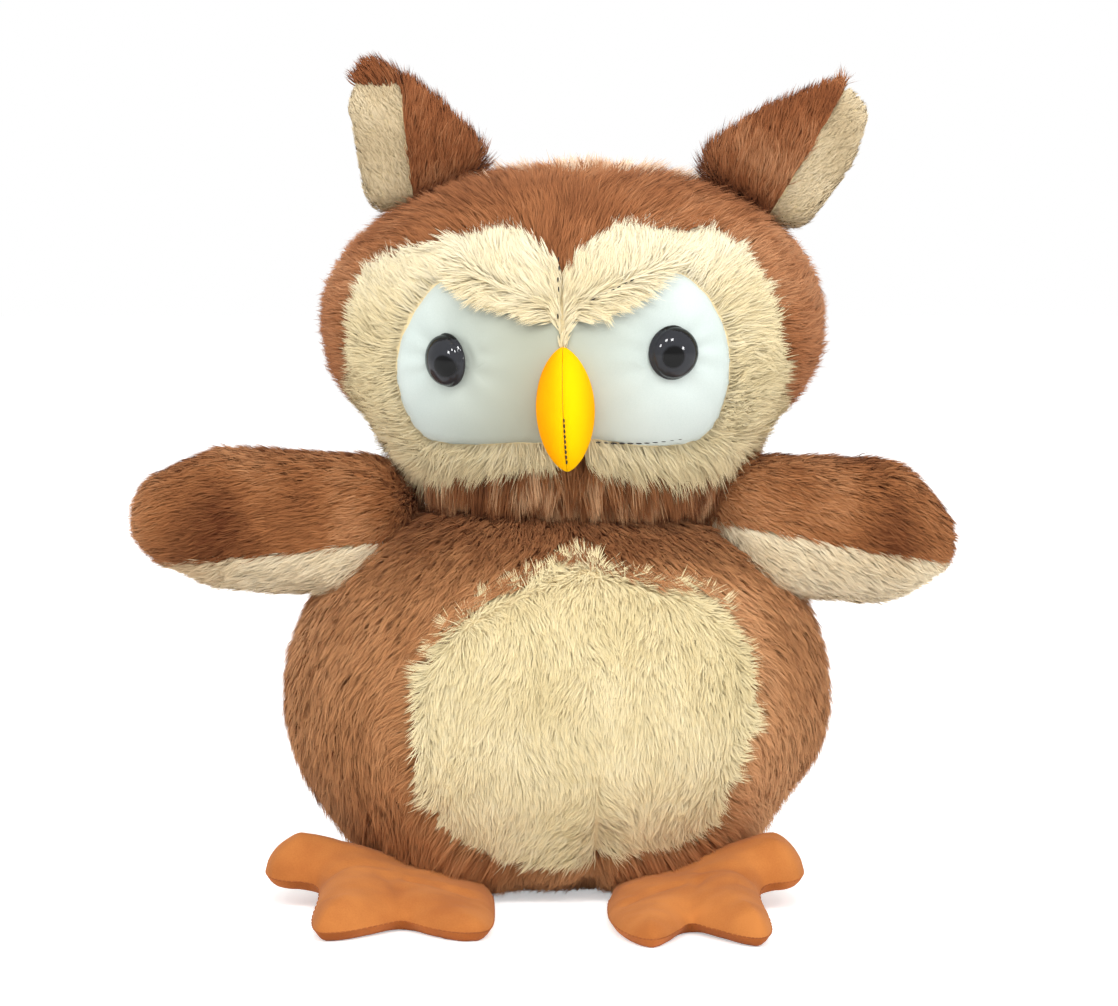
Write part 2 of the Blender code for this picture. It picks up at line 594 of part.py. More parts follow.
def beak_mesh(inset=0.0):
    """An almond standing upright, pointed at both ends."""
    mesh = bmesh.new()
    bmesh.ops.create_uvsphere(mesh, u_segments=ROUND_SEGMENTS, v_segments=BEAK_RINGS, radius=1)
    z = -BEAK_DROP
    middle = Vector((0, front_y(HEAD, 0, z), z))
    for vert in mesh.verts:
        x, y, height = vert.co
        level = math.hypot(x, y)
        slim = level ** (BEAK_POINT_POWER - 1) if level > 0 else 1
        vert.co = middle + Vector((x * slim * (BEAK_HALF_WIDTH - inset), y * slim * (BEAK_PROUD - inset),
                                   height * (BEAK_HALF_HEIGHT - inset)))
    return mesh


def make_beak():
    """Two cloth halves with a centre seam over a little filling, bedded on the face."""
    yellow = material("yellow_beak", (0.98, 0.62, 0.0), 0.8)
    filling = material("filling_beak", (0.9, 0.9, 0.88), 1.0)
    bed = finish("cut_beak_bed", form_mesh(HEAD, -GAP), None, HEAD_FRAME)
    inner = finish("cut_beak_inside", beak_mesh(FELT), None, HEAD_FRAME)
    across = Vector((1, 0, 0))
    for name, side in SIDES.items():
        half = trim(beak_mesh(), across * side * GAP / 2, -across * side)
        finish(f"beak_{name}", half, yellow, HEAD_FRAME, "hinge_head",
               [("DIFFERENCE", inner), ("DIFFERENCE", bed)])
    finish("beak_stuffing", beak_mesh(FELT + GAP), filling, HEAD_FRAME, "hinge_head",
           [("DIFFERENCE", bed)])


def towards_form(axis, side):
    """The way from a hinge to the form that its limb is sewn to."""
    return axis.cross(Vector((0, 1, 0))) * -side


def ear_balls(side_name):
    side, ear = SIDES[side_name], EARS[side_name]
    middle, axis = ear_hinge(side_name)
    down = towards_form(axis, side) * (EAR_ROOT_RADIUS - EAR_CORNER_RADIUS)
    turn = HEAD_FRAME.to_3x3().inverted()
    way = turn @ Vector((side * math.sin(ear.lean), 0, math.cos(ear.lean)))
    aside = turn @ Vector((side * math.cos(ear.lean), 0, -math.sin(ear.lean)))
    return [
        (middle + down - axis * EAR_HALF_SPAN, EAR_CORNER_RADIUS),
        (middle + down + axis * EAR_HALF_SPAN, EAR_CORNER_RADIUS),
        (middle + way * ear.length * EAR_BELLY_SHARE, EAR_BELLY_RADIUS),
        (middle + way * ear.length, EAR_TIP_RADIUS),
        (middle + way * ear.corner_along + aside * ear.corner_out, EAR_TIP_RADIUS),
    ]


def make_ears():
    for name, side in SIDES.items():
        brown = material(f"brown_plush_ear_{name}", (0.24, 0.08, 0.03), 0.95)
        cream = material(f"cream_plush_ear_{name}", (0.62, 0.5, 0.32), 0.95)
        filling = material(f"filling_ear_{name}", (0.9, 0.9, 0.88), 1.0)
        ear = EARS[name]
        balls = ear_balls(name)
        middle, axis = ear_hinge(name)
        turn = HEAD_FRAME.to_3x3().inverted()
        out = turn @ Vector((side * math.cos(ear.seam_lean), 0, -math.sin(ear.seam_lean)))
        seam = middle + turn @ Vector((side * ear.seam_out, 0, 0))
        pivot = f"hinge_ear_{name}"
        core = ball_hull(balls, EAR_DEPTH_SHARE, axis, PLUSH)
        inner = finish(f"cut_ear_inside_{name}", core, None, HEAD_FRAME)
        half = trim(ball_hull(balls, EAR_DEPTH_SHARE, axis), seam - out * GAP / 2, out)
        finish(f"ear_inner_{name}", half, brown, HEAD_FRAME, pivot, [("DIFFERENCE", inner)])
        half = trim(ball_hull(balls, EAR_DEPTH_SHARE, axis), seam + out * GAP / 2, -out)
        finish(f"ear_outer_{name}", half, cream, HEAD_FRAME, pivot, [("DIFFERENCE", inner)])
        fill = ball_hull(balls, EAR_DEPTH_SHARE, axis, PLUSH + GAP)
        finish(f"ear_stuffing_{name}", fill, filling, HEAD_FRAME, pivot)


def make_wings():
    for name, side in SIDES.items():
        brown = material(f"brown_plush_wing_{name}", (0.22, 0.07, 0.025), 0.95)
        cream = material(f"cream_plush_wing_{name}", (0.66, 0.54, 0.34), 0.95)
        filling = material(f"filling_wing_{name}", (0.9, 0.9, 0.88), 1.0)
        wing = WINGS[name]
        middle, axis = wing_hinge(name)
        way = Vector((side * math.cos(wing.droop), 0, -math.sin(wing.droop)))
        down = towards_form(axis, side) * (WING_ROOT_RADIUS - WING_TOP_RADIUS)
        balls = [
            (middle + down - axis * WING_HALF_SPAN, WING_TOP_RADIUS),
            (middle + axis * WING_HALF_SPAN, WING_ROOT_RADIUS),
            (middle + way * wing.length * WING_BELLY_SHARE, WING_BELLY_RADIUS),
            (middle + way * wing.length, WING_TIP_RADIUS),
        ]
        up = Vector((side * math.sin(WING_SEAM_SLOPE), 0, math.cos(WING_SEAM_SLOPE)))
        seam = middle - Vector((0, 0, WING_SEAM_DROP))
        pivot = f"hinge_wing_{name}"
        core = ball_hull(balls, WING_DEPTH_SHARE, axis, PLUSH)
        inner = finish(f"cut_wing_inside_{name}", core, None)
        half = trim(ball_hull(balls, WING_DEPTH_SHARE, axis), seam + up * GAP / 2, -up)
        finish(f"wing_upper_{name}", half, brown, Matrix(), pivot, [("DIFFERENCE", inner)])
        half = trim(ball_hull(balls, WING_DEPTH_SHARE, axis), seam - up * GAP / 2, up)
        finish(f"wing_lower_{name}", half, cream, Matrix(), pivot, [("DIFFERENCE", inner)])
        fill = ball_hull(balls, WING_DEPTH_SHARE, axis, PLUSH + GAP)
        finish(f"wing_stuffing_{name}", fill, filling, Matrix(), pivot)


def sink_heel(mesh, side, foot):
    """Press down the inner heel of a cushion that is given in its own frame."""
    for vert in mesh.verts:
        across = (side * vert.co.x - foot.inner) / foot.width
        inner = min(max((SINK_START_SHARE - across) / SINK_SPAN_SHARE, 0), 1)
        vert.co.z -= foot.sink * inner * min(max(vert.co.y / foot.length, 0), 1)
    return mesh


def make_feet():
    bed = finish("cut_foot_bed", form_mesh(BODY, -GAP), None, BODY_FRAME)
    for name, side in SIDES.items():
        orange = material(f"orange_suede_upper_{name}", (0.62, 0.23, 0.06), 0.9)
        sole = material(f"orange_suede_sole_{name}", (0.45, 0.15, 0.035), 0.95)
        filling = material(f"filling_foot_{name}", (0.9, 0.9, 0.88), 1.0)
        foot = FEET[name]
        front = Vector((0, -foot.rear - foot.length, 0))

        def plan(u, w):
            return Vector((side * (foot.inner + u * foot.width), foot.length * (1 - w)))

        # The foot's frame sits at the toe tips and leans down towards them
        lean = Matrix.Rotation(FOOT_TILT, 4, "X")
        frame = Matrix.Translation(front + Vector((0, 0, FOOT_DIP - FOOT_PRESS))) @ lean
        loop = smooth_loop([plan(u, w) for u, w in FOOT_SHARES])
        crown = plan(*FOOT_CROWN_SHARE)
        floor = frame.inverted().to_3x3() @ Vector((0, 0, -1))
        on_floor = frame.inverted() @ front
        up = Vector((0, 0, 1))
        pivot = f"hinge_foot_{name}"
        shell = pillow(grow_loop(loop, -SUEDE), crown, FOOT_RISE - SUEDE, FOOT_DIP - SUEDE)
        inner = finish(f"cut_foot_inside_{name}", sink_heel(shell, side, foot), None, frame)
        half = trim(pillow(loop, crown, FOOT_RISE, FOOT_DIP), up * GAP / 2, -up)
        finish(f"foot_upper_{name}", sink_heel(half, side, foot), orange, frame, pivot,
               [("DIFFERENCE", inner), ("DIFFERENCE", bed)])
        half = sink_heel(trim(pillow(loop, crown, FOOT_RISE, FOOT_DIP), -up * GAP / 2, up), side, foot)
        finish(f"foot_sole_{name}", trim(half, on_floor, floor), sole, frame, pivot,
               [("DIFFERENCE", inner), ("DIFFERENCE", bed)])
        within = SUEDE + GAP
        fill = pillow(grow_loop(loop, -within), crown, FOOT_RISE - within, FOOT_DIP - within)
        finish(f"foot_stuffing_{name}", sink_heel(fill, side, foot), filling, frame, pivot,
               [("DIFFERENCE", bed)])


clear_scene()
make_pivots()
make_body()
make_head()
make_ears()
make_wings()
make_feet()
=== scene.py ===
# %% [markdown]
# # A plush owl
# The owl is sewn from long-pile plush: a pear-shaped body, a wide head, two wings and two ears,
# with satin eye patches, a felt beak and suede feet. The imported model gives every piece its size
# and place, and this lesson dresses it. Lengths are metres, the owl faces -Y, and left is -X.

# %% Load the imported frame
import json
import math

import bmesh
import bpy
import numpy as np
from mathutils import Matrix, Vector


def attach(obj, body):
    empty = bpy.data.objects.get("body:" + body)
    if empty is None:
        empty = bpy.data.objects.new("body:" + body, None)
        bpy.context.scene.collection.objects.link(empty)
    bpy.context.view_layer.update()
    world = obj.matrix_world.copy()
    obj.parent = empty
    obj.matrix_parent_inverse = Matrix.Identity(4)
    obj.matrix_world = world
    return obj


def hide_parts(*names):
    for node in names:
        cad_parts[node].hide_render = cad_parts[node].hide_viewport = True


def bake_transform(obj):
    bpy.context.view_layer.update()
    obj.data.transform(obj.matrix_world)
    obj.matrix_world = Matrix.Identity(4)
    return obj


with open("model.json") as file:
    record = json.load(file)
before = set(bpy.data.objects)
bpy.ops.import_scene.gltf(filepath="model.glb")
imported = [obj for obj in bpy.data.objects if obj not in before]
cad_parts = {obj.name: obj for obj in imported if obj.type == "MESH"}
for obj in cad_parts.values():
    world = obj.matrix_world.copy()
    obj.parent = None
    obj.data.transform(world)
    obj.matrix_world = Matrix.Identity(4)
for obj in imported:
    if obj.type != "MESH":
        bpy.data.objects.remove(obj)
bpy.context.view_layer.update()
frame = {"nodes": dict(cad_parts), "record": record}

# %% [markdown]
# ## Camera and light
# The photograph was taken from just above the owl's middle with a long lens, so the camera stands
# 1.1 m away and 6 degrees up. Soft light comes from a big lamp over the camera and from the white
# room. Four little lamps over it fill the shadows, and four that only gloss can see make the
# glints of the eyes. Three small functions that build shader nodes come before the lamps, because
# the room needs them as well as the cloth.

# %% Camera
VIEW_DISTANCE = 1.1
VIEW_HEIGHT = math.radians(6)
AIM = Vector((0, 0, 0.110))

camera = bpy.data.objects.new("camera", bpy.data.cameras.new("camera"))
bpy.context.scene.collection.objects.link(camera)
camera.data.sensor_width = 36
camera.data.lens = 120.46
camera.location = AIM + Vector((0, -math.cos(VIEW_HEIGHT), math.sin(VIEW_HEIGHT))) * VIEW_DISTANCE
camera.rotation_euler = (AIM - camera.location).to_track_quat("-Z", "Y").to_euler()
bpy.context.scene.camera = camera
print("camera at", [round(c, 3) for c in camera.location])


# %% Shader helpers
SETTINGS = ("operation", "data_type", "uv_map", "attribute_name", "interpolation_type")


def node(tree, kind, **values):
    """Add a node, and set its settings and its sockets by their names."""
    made = tree.nodes.new("ShaderNode" + kind)
    for name, value in values.items():
        if name in SETTINGS:
            setattr(made, name, value)
        else:
            made.inputs[name.replace("_", " ")].default_value = value
    return made


def span(tree, value, **ends):
    """Map a value from one span to another."""
    made = node(tree, "MapRange", **ends)
    tree.links.new(value, made.inputs["Value"])
    return made.outputs[0]


def seen_by(tree, *rays):
    """1 for the kinds of ray that are named."""
    path = node(tree, "LightPath")
    seen = path.outputs[rays[0]]
    for ray in rays[1:]:
        either = node(tree, "Math", operation="MAXIMUM")
        tree.links.new(seen, either.inputs[0])
        tree.links.new(path.outputs[ray], either.inputs[1])
        seen = either.outputs[0]
    return seen


print("shader helpers:", node.__name__, span.__name__, seen_by.__name__)


# %% Lamps and room
OWL_MIDDLE = (0, 0, 0.16)
ROOM_LIGHT = 0.62


def lamp(name, place, aim, size, power, glint=False):
    """A square soft lamp that points at a place, or a glint that only gloss can see."""
    made = bpy.data.objects.new(name, bpy.data.lights.new(name, "AREA"))
    made.data.size = size
    made.data.energy = power
    made.location = place
    made.rotation_euler = (Vector(aim) - Vector(place)).to_track_quat("-Z", "Y").to_euler()
    made.visible_glossy = glint
    made.visible_diffuse = not glint
    bpy.context.scene.collection.objects.link(made)


lamp("lamp_front", (0.1, -1.3, 1.1), (0, 0, 0.1), 1.0, 9)
lamp("lamp_left", (-1.2, -0.5, 0.7), (0, 0, 0.1), 0.9, 4)
lamp("lamp_right", (1.2, -0.5, 0.7), (0, 0, 0.1), 0.9, 5)
lamp("lamp_back", (0.0, 1.2, 1.0), (0, 0, 0.15), 1.0, 6)
for number, (x, z) in enumerate(((-0.46, 0.74), (-0.14, 0.86), (0.18, 0.86), (0.50, 0.74))):
    lamp(f"lamp_fill_{number}", (x, -0.8, z), OWL_MIDDLE, 0.09, 1.4)
for number, (x, z) in enumerate(((-0.46, 0.58), (-0.02, 0.86), (0.40, 0.86), (1.32, 0.36))):
    lamp(f"lamp_glint_{number}", (x, -0.8, z), OWL_MIDDLE, 0.17, 5.5, glint=True)

world = bpy.data.worlds.new("room")
bpy.context.scene.world = world
world.use_nodes = True
room = world.node_tree.nodes["Background"]
room.inputs["Color"].default_value = (1, 1, 1, 1)
shown = seen_by(world.node_tree, "Is Camera Ray", "Is Transmission Ray", "Is Glossy Ray")
world.node_tree.links.new(span(world.node_tree, shown, To_Min=ROOM_LIGHT), room.inputs["Strength"])
bpy.context.scene.view_settings.view_transform = "Standard"

# %% [markdown]
# ## Cloth colours
# A dye is chosen as it looks on a screen, so each one is turned into the linear numbers that a
# shader wants. Plush takes its colour along each hair, with painted shade at the root, where light
# hardly reaches, and a painted highlight at the tip, where light shines through the hair. Each hair
# carries two numbers in its UV map, tone across and height up the hair, and one node group turns
# them into a colour for every plush in the toy.

# %% Dyes
def dye(red, green, blue, strength=1.0):
    """Screen colour 0 to 255 as linear light."""
    part = [c / 255 for c in (red, green, blue)]
    return tuple(strength * (c / 12.92 if c <= 0.04045 else ((c + 0.055) / 1.055) ** 2.4)
                 for c in part) + (1.0,)


def mixed(tree, factor, first, second):
    """A colour between two colours or colour sockets."""
    made = node(tree, "Mix", data_type="RGBA")
    tree.links.new(factor, made.inputs["Factor"])
    for place, colour in ((6, first), (7, second)):
        if isinstance(colour, tuple):
            made.inputs[place].default_value = colour
        else:
            tree.links.new(colour, made.inputs[place])
    return made.outputs[2]


def new_group(name, takes, gives):
    """An empty node group, with its inner inputs and outputs."""
    group = bpy.data.node_groups.new(name, "ShaderNodeTree")
    for sockets, way in ((takes, "INPUT"), (gives, "OUTPUT")):
        for socket, kind in sockets:
            group.interface.new_socket(socket, in_out=way, socket_type="NodeSocket" + kind)
    return group, group.nodes.new("NodeGroupInput").outputs, group.nodes.new("NodeGroupOutput").inputs


def new_material(name, colour, **sockets):
    """A material with its tree and its Principled shader, whose sockets are set."""
    made = bpy.data.materials.new(name)
    made.use_nodes = True
    made.diffuse_color = colour
    shader = made.node_tree.nodes["Principled BSDF"]
    for socket, value in sockets.items():
        shader.inputs[socket.replace("_", " ")].default_value = value
    return made, made.node_tree, shader


def use_group(tree, shared, **values):
    """Place a shared node group in a material and set its values there."""
    made = tree.nodes.new("ShaderNodeGroup")
    made.node_tree = shared
    for name, value in values.items():
        made.inputs[name.replace("_", " ")].default_value = value
    return made


# %% Hair colour group
def make_hair_group():
    """Colour of a hair from tone, height and three dyes: painted shade at root, painted highlight at tip.
    """
    group, hair, out = new_group(
        "hair_colour_and_painted_light", (("Hair UV", "Vector"), ("Dark", "Color"), ("Middle", "Color"),
                        ("Light", "Color"), ("Root Shade", "Float")), (("Colour", "Color"),))
    split = node(group, "SeparateXYZ")
    group.links.new(hair["Hair UV"], split.inputs[0])
    tone, height = split.outputs["X"], split.outputs["Y"]
    darker = mixed(group, span(group, tone, From_Max=0.5), hair["Dark"], hair["Middle"])
    colour = mixed(group, span(group, tone, From_Min=0.5), darker, hair["Light"])
    # Painted shade at the root and a painted highlight at the tip scale the colour along the hair's
    # height.
    rise = node(group, "MapRange", From_Max=0.7)
    group.links.new(height, rise.inputs["Value"])
    group.links.new(hair["Root Shade"], rise.inputs["To Min"])
    root_shade_and_tip_light = node(group, "Math", operation="MULTIPLY")
    group.links.new(rise.outputs[0], root_shade_and_tip_light.inputs[0])
    group.links.new(span(group, height, From_Min=0.6, To_Min=1.0, To_Max=1.25), root_shade_and_tip_light.inputs[1])
    shade = node(group, "VectorMath", operation="SCALE")
    group.links.new(colour, shade.inputs[0])
    group.links.new(root_shade_and_tip_light.outputs[0], shade.inputs["Scale"])
    group.links.new(shade.outputs[0], out["Colour"])
    return group


HAIR_GROUP = make_hair_group()
print("group:", HAIR_GROUP.name)


# %% Hair and backing materials
def hair_material(name, dark, middle, light, root_shade):
    """Plush pile that reads its two numbers from the hair's own UV map."""
    made, tree, shader = new_material(name, middle, Roughness=0.85, Specular_IOR_Level=0.08,
                                      Sheen_Weight=0.04, Sheen_Roughness=0.6)
    group = use_group(tree, HAIR_GROUP, Dark=dark, Middle=middle, Light=light, Root_Shade=root_shade)
    tree.links.new(node(tree, "UVMap", uv_map="OFBake").outputs[0], group.inputs["Hair UV"])
    tree.links.new(group.outputs["Colour"], shader.inputs["Base Color"])
    return made


def make_weave_group():
    """A fine over-and-under weave as a height, with a slow cloudy change of tone."""
    group, cloth, out = new_group(
        "cloth_weave", (("Colour", "Color"), ("Shade", "Color"), ("Threads", "Float"),
                        ("Clouds", "Float")), (("Colour", "Color"), ("Height", "Float")))
    place = node(group, "TexCoord").outputs["Object"]
    fuzz = node(group, "TexNoise", Detail=4.0, Roughness=0.6)
    cloud = node(group, "TexNoise", Detail=2.0, Roughness=0.5)
    for noise, scale in ((fuzz, "Threads"), (cloud, "Clouds")):
        group.links.new(place, noise.inputs["Vector"])
        group.links.new(cloth[scale], noise.inputs["Scale"])
    blend = node(group, "Math", operation="MULTIPLY_ADD")
    blend.inputs[1].default_value = 0.35
    group.links.new(fuzz.outputs["Fac"], blend.inputs[0])
    group.links.new(cloud.outputs["Fac"], blend.inputs[2])
    spread = span(group, blend.outputs[0], From_Min=0.5, From_Max=0.85)
    group.links.new(mixed(group, spread, cloth["Shade"], cloth["Colour"]), out["Colour"])
    group.links.new(fuzz.outputs["Fac"], out["Height"])
    return group


WEAVE_GROUP = make_weave_group()


def cloth_material(name, colour, shade, roughness=0.9, threads=1800.0, clouds=40.0, bump=0.3,
                   bump_size=0.0002, sheen=0.0, specular=0.3):
    """Cloth seen directly: satin, suede, felt, filling, or the knit that carries the pile."""
    made, tree, shader = new_material(name, colour, Roughness=roughness, Specular_IOR_Level=specular,
                                      Sheen_Weight=sheen, Sheen_Roughness=0.5)
    group = use_group(tree, WEAVE_GROUP, Colour=colour, Shade=shade, Threads=threads, Clouds=clouds)
    lift = node(tree, "Bump", Strength=bump, Distance=bump_size)
    tree.links.new(group.outputs["Height"], lift.inputs["Height"])
    tree.links.new(lift.outputs[0], shader.inputs["Normal"])
    tree.links.new(group.outputs["Colour"], shader.inputs["Base Color"])
    return made


BROWN_KNIT = cloth_material("brown_knit", dye(140, 92, 58), dye(118, 74, 44))
CREAM_KNIT = cloth_material("cream_knit", dye(226, 208, 164), dye(210, 190, 144))
SATIN = cloth_material("white_satin", dye(200, 209, 204), dye(180, 192, 187), 0.6, 2600.0, 24.0,
                       0.15, 0.0001, 0.0, 0.25)
SUEDE = cloth_material("orange_suede", dye(191, 120, 61), dye(168, 99, 48), 0.95, 2200.0, 60.0,
                       0.6, 0.0002, 0.05, 0.1)
SOLE = cloth_material("orange_suede_sole", dye(192, 112, 54), dye(158, 86, 38), 0.95, 2200.0, 48.0,
                      0.6, 0.0002, 0.05, 0.1)
FELT = cloth_material("yellow_felt", dye(250, 164, 0), dye(246, 150, 0), 0.9, 1500.0, 60.0,
                      0.35, 0.0003, 0.0, 0.05)
FILLING = cloth_material("fibre_filling", dye(238, 238, 234), dye(222, 222, 218), 1.0, 500.0, 60.0,
                         0.6, 0.001)
BLACK_THREAD = cloth_material("black_thread", dye(40, 34, 32), dye(28, 24, 22), 0.7, 3000.0, 90.0)
RUST_THREAD = cloth_material("rust_thread", dye(166, 92, 36), dye(140, 74, 28), 0.8, 3000.0, 90.0)


def fade_to_middle(material, reach, colour, centre=0.004):
    """Fade a cloth towards another colour near a place across the owl."""
    tree = material.node_tree
    base = tree.nodes["Principled BSDF"].inputs["Base Color"]
    cloth = base.links[0].from_socket
    split = node(tree, "SeparateXYZ")
    tree.links.new(node(tree, "TexCoord").outputs["Object"], split.inputs[0])
    offset = node(tree, "Math", operation="SUBTRACT")
    offset.inputs[1].default_value = centre
    tree.links.new(split.outputs["X"], offset.inputs[0])
    away = node(tree, "Math", operation="ABSOLUTE")
    tree.links.new(offset.outputs[0], away.inputs[0])
    ramp = span(tree, away.outputs[0], interpolation_type="SMOOTHSTEP", From_Max=reach)
    tree.links.new(mixed(tree, ramp, colour, cloth), base)


# Painted shade: the satin darkens towards the beak, where the nose and brow shade it.
fade_to_middle(SATIN, 0.041, dye(160, 163, 146), -0.006)
fade_to_middle(FELT, 0.0085, dye(255, 196, 0))
print("materials:", len(bpy.data.materials))


# %% Eye and washer materials
def plain_material(name, colour, roughness):
    """Smooth plastic with a faint grain in its gloss and its colour."""
    made, tree, shader = new_material(name, colour)
    grain = node(tree, "TexNoise", Scale=400.0, Detail=3.0)
    tree.links.new(node(tree, "TexCoord").outputs["Object"], grain.inputs["Vector"])
    spread = span(tree, grain.outputs["Fac"], To_Min=roughness * 0.7, To_Max=roughness * 1.5)
    tree.links.new(spread, shader.inputs["Roughness"])
    deeper = tuple(c * 0.8 for c in colour[:3]) + (1.0,)
    tree.links.new(mixed(tree, grain.outputs["Fac"], colour, deeper), shader.inputs["Base Color"])
    return made


EYE_BLACK = plain_material("black_eye_gloss", dye(46, 47, 51), 0.05)
tree = EYE_BLACK.node_tree
shader = tree.nodes["Principled BSDF"]
shader.inputs["Specular IOR Level"].default_value = 0.2
base = shader.inputs["Base Color"]
ring = node(tree, "Attribute", attribute_name="pupil").outputs["Fac"]
tree.links.new(mixed(tree, ring, base.links[0].from_socket, dye(4, 4, 4)), base)
WASHER_WHITE = plain_material("washer_plastic", dye(236, 236, 232), 0.4)

# %% [markdown]
# ## The stuffed forms
# Body and head are sewn so that the filling blows them up into rounded blocks. One formula covers
# both: a level ring that is an ellipse, and a profile that is squarer than a circle. The sizes are
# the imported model's own. The knit that carries the pile lies a little inside that surface, so
# that the hair fills the space that the CAD form holds.

# %% Forms
class Form:
    def __init__(self, width, depth, rise, drop, upper, lower):
        self.width, self.depth, self.rise, self.drop = width, depth, rise, drop
        self.upper, self.lower = upper, lower

    def front(self, x, z, inset=0.0):
        """Y of the front surface over points of the front view."""
        x, z = np.asarray(x, float), np.asarray(z, float)
        height = np.where(z > 0, self.rise, self.drop) - inset
        power = np.where(z > 0, self.upper, self.lower)
        reach = (1 - np.clip(np.abs(z) / height, 0, 1) ** power) ** (1 / power)
        across = np.abs(x) / (self.width - inset)
        return -(self.depth - inset) * np.sqrt(np.maximum(reach ** 2 - across ** 2, 0))

    def normal(self, points):
        """Unit normals at points near the surface."""
        points = np.asarray(points, float).reshape(-1, 3)
        x, y, z = points.T
        ring = np.maximum(np.hypot(x / self.width, y / self.depth), 1e-6)
        height = np.where(z > 0, self.rise, self.drop)
        power = np.where(z > 0, self.upper, self.lower)
        flat = ring ** (power - 2)
        slope = np.sign(z) * (np.abs(z) / height) ** (power - 1) / height
        out = np.stack([flat * x / self.width ** 2, flat * y / self.depth ** 2, slope], 1)
        return out / np.linalg.norm(out, axis=1)[:, None]

    def mesh(self, inset, segments=128, rings=88):
        """A closed mesh of the form, centred on its widest level."""
        mesh = bmesh.new()
        bmesh.ops.create_uvsphere(mesh, u_segments=segments, v_segments=rings, radius=1)
        for vert in mesh.verts:
            x, y, z = vert.co
            level = math.hypot(x, y)
            power = self.upper if z > 0 else self.lower
            height = self.rise if z > 0 else self.drop
            spread = level ** (2 / power) / level if level > 1e-9 else 1
            vert.co = (x * spread * (self.width - inset), y * spread * (self.depth - inset),
                       math.copysign(abs(z) ** (2 / power), z) * (height - inset))
        return mesh


BODY = Form(0.0775, 0.068, 0.061, 0.056, 2.5, 2.3)
HEAD = Form(0.072, 0.057, 0.0485, 0.052, 2.4, 1.9)
WAIST_Z = 0.053
NECK_Z = 0.111
BODY_FRAME = Matrix.Translation((0, 0, WAIST_Z))
HEAD_FRAME = (Matrix.Translation((0.0045, 0, 0.158)) @ Matrix.Rotation(math.radians(-3.5), 4, "Z")
              @ Matrix.Rotation(math.radians(-2), 4, "Y"))
PILE_ROOM = 0.0025
print("body is", 2 * BODY.width, "wide, head is", 2 * HEAD.width)


# %% Helpers that make and place a piece
def carry(obj, body):
    """Ride on a body, or only bake the transform of a piece given two bodies and two points."""
    if isinstance(body, str):
        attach(obj, body)
    else:
        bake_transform(obj)


def put(name, mesh, material, body, replaces=()):
    """Turn a bmesh into a piece of the owl that rides on a body."""
    data = bpy.data.meshes.new(name)
    mesh.to_mesh(data)
    mesh.free()
    data.materials.append(material)
    data.shade_smooth()
    obj = bpy.data.objects.new(name, data)
    bpy.context.scene.collection.objects.link(obj)
    carry(obj, body)
    if replaces:
        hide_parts(*replaces)
    return obj


def everything(mesh):
    return mesh.verts[:] + mesh.edges[:] + mesh.faces[:]


def place_mesh(mesh, matrix):
    bmesh.ops.transform(mesh, matrix=matrix, verts=mesh.verts[:])


def face_out(mesh, way, where=lambda face: True):
    """Turn the faces out, judged by those that should look along a direction."""
    bmesh.ops.recalc_face_normals(mesh, faces=mesh.faces[:])
    if sum(face.normal.dot(way) * face.calc_area() for face in mesh.faces if where(face)) < 0:
        bmesh.ops.reverse_faces(mesh, faces=mesh.faces[:])


def smooth_loop(points, steps=6):
    """A closed smooth curve through the points of an outline."""
    points = np.asarray(points, float)
    before, start = np.roll(points, 1, 0), points
    end, after = np.roll(points, -1, 0), np.roll(points, -2, 0)
    parts = []
    for step in range(steps):
        t = step / steps
        parts.append(((-before + 3 * start - 3 * end + after) * t ** 3
                      + (2 * before - 5 * start + 4 * end - after) * t ** 2
                      + (end - before) * t + 2 * start) / 2)
    return np.stack(parts, 1).reshape(-1, 2)


def edge_distance(points, loop):
    """Distance to an outline, negative inside it."""
    a, b = loop, np.roll(loop, -1, 0)
    best = np.full(len(points), 1e9)
    odd = np.zeros(len(points), bool)
    for start, end in zip(a, b):
        along = end - start
        t = np.clip(((points - start) @ along) / (along @ along), 0, 1)
        best = np.minimum(best, np.linalg.norm(points - start - t[:, None] * along, axis=1))
        if start[1] != end[1]:
            level = (start[1] > points[:, 1]) != (end[1] > points[:, 1])
            cross = start[0] + (points[:, 1] - start[1]) / (end[1] - start[1]) * along[0]
            odd ^= level & (points[:, 0] < cross)
    return np.where(odd, -best, best)


def line_distance(points, line):
    """Distance to an open line of points."""
    best = np.full(len(points), 1e9)
    for start, end in zip(line[:-1], line[1:]):
        along = end - start
        t = np.clip(((points - start) @ along) / (along @ along), 0, 1)
        best = np.minimum(best, np.linalg.norm(points - start - t[:, None] * along, axis=1))
    return best


# %% Outlines of the patches
def outline(points):
    """A smooth closed outline from points in millimetres of the front view."""
    return smooth_loop(np.array(points) / 1000)


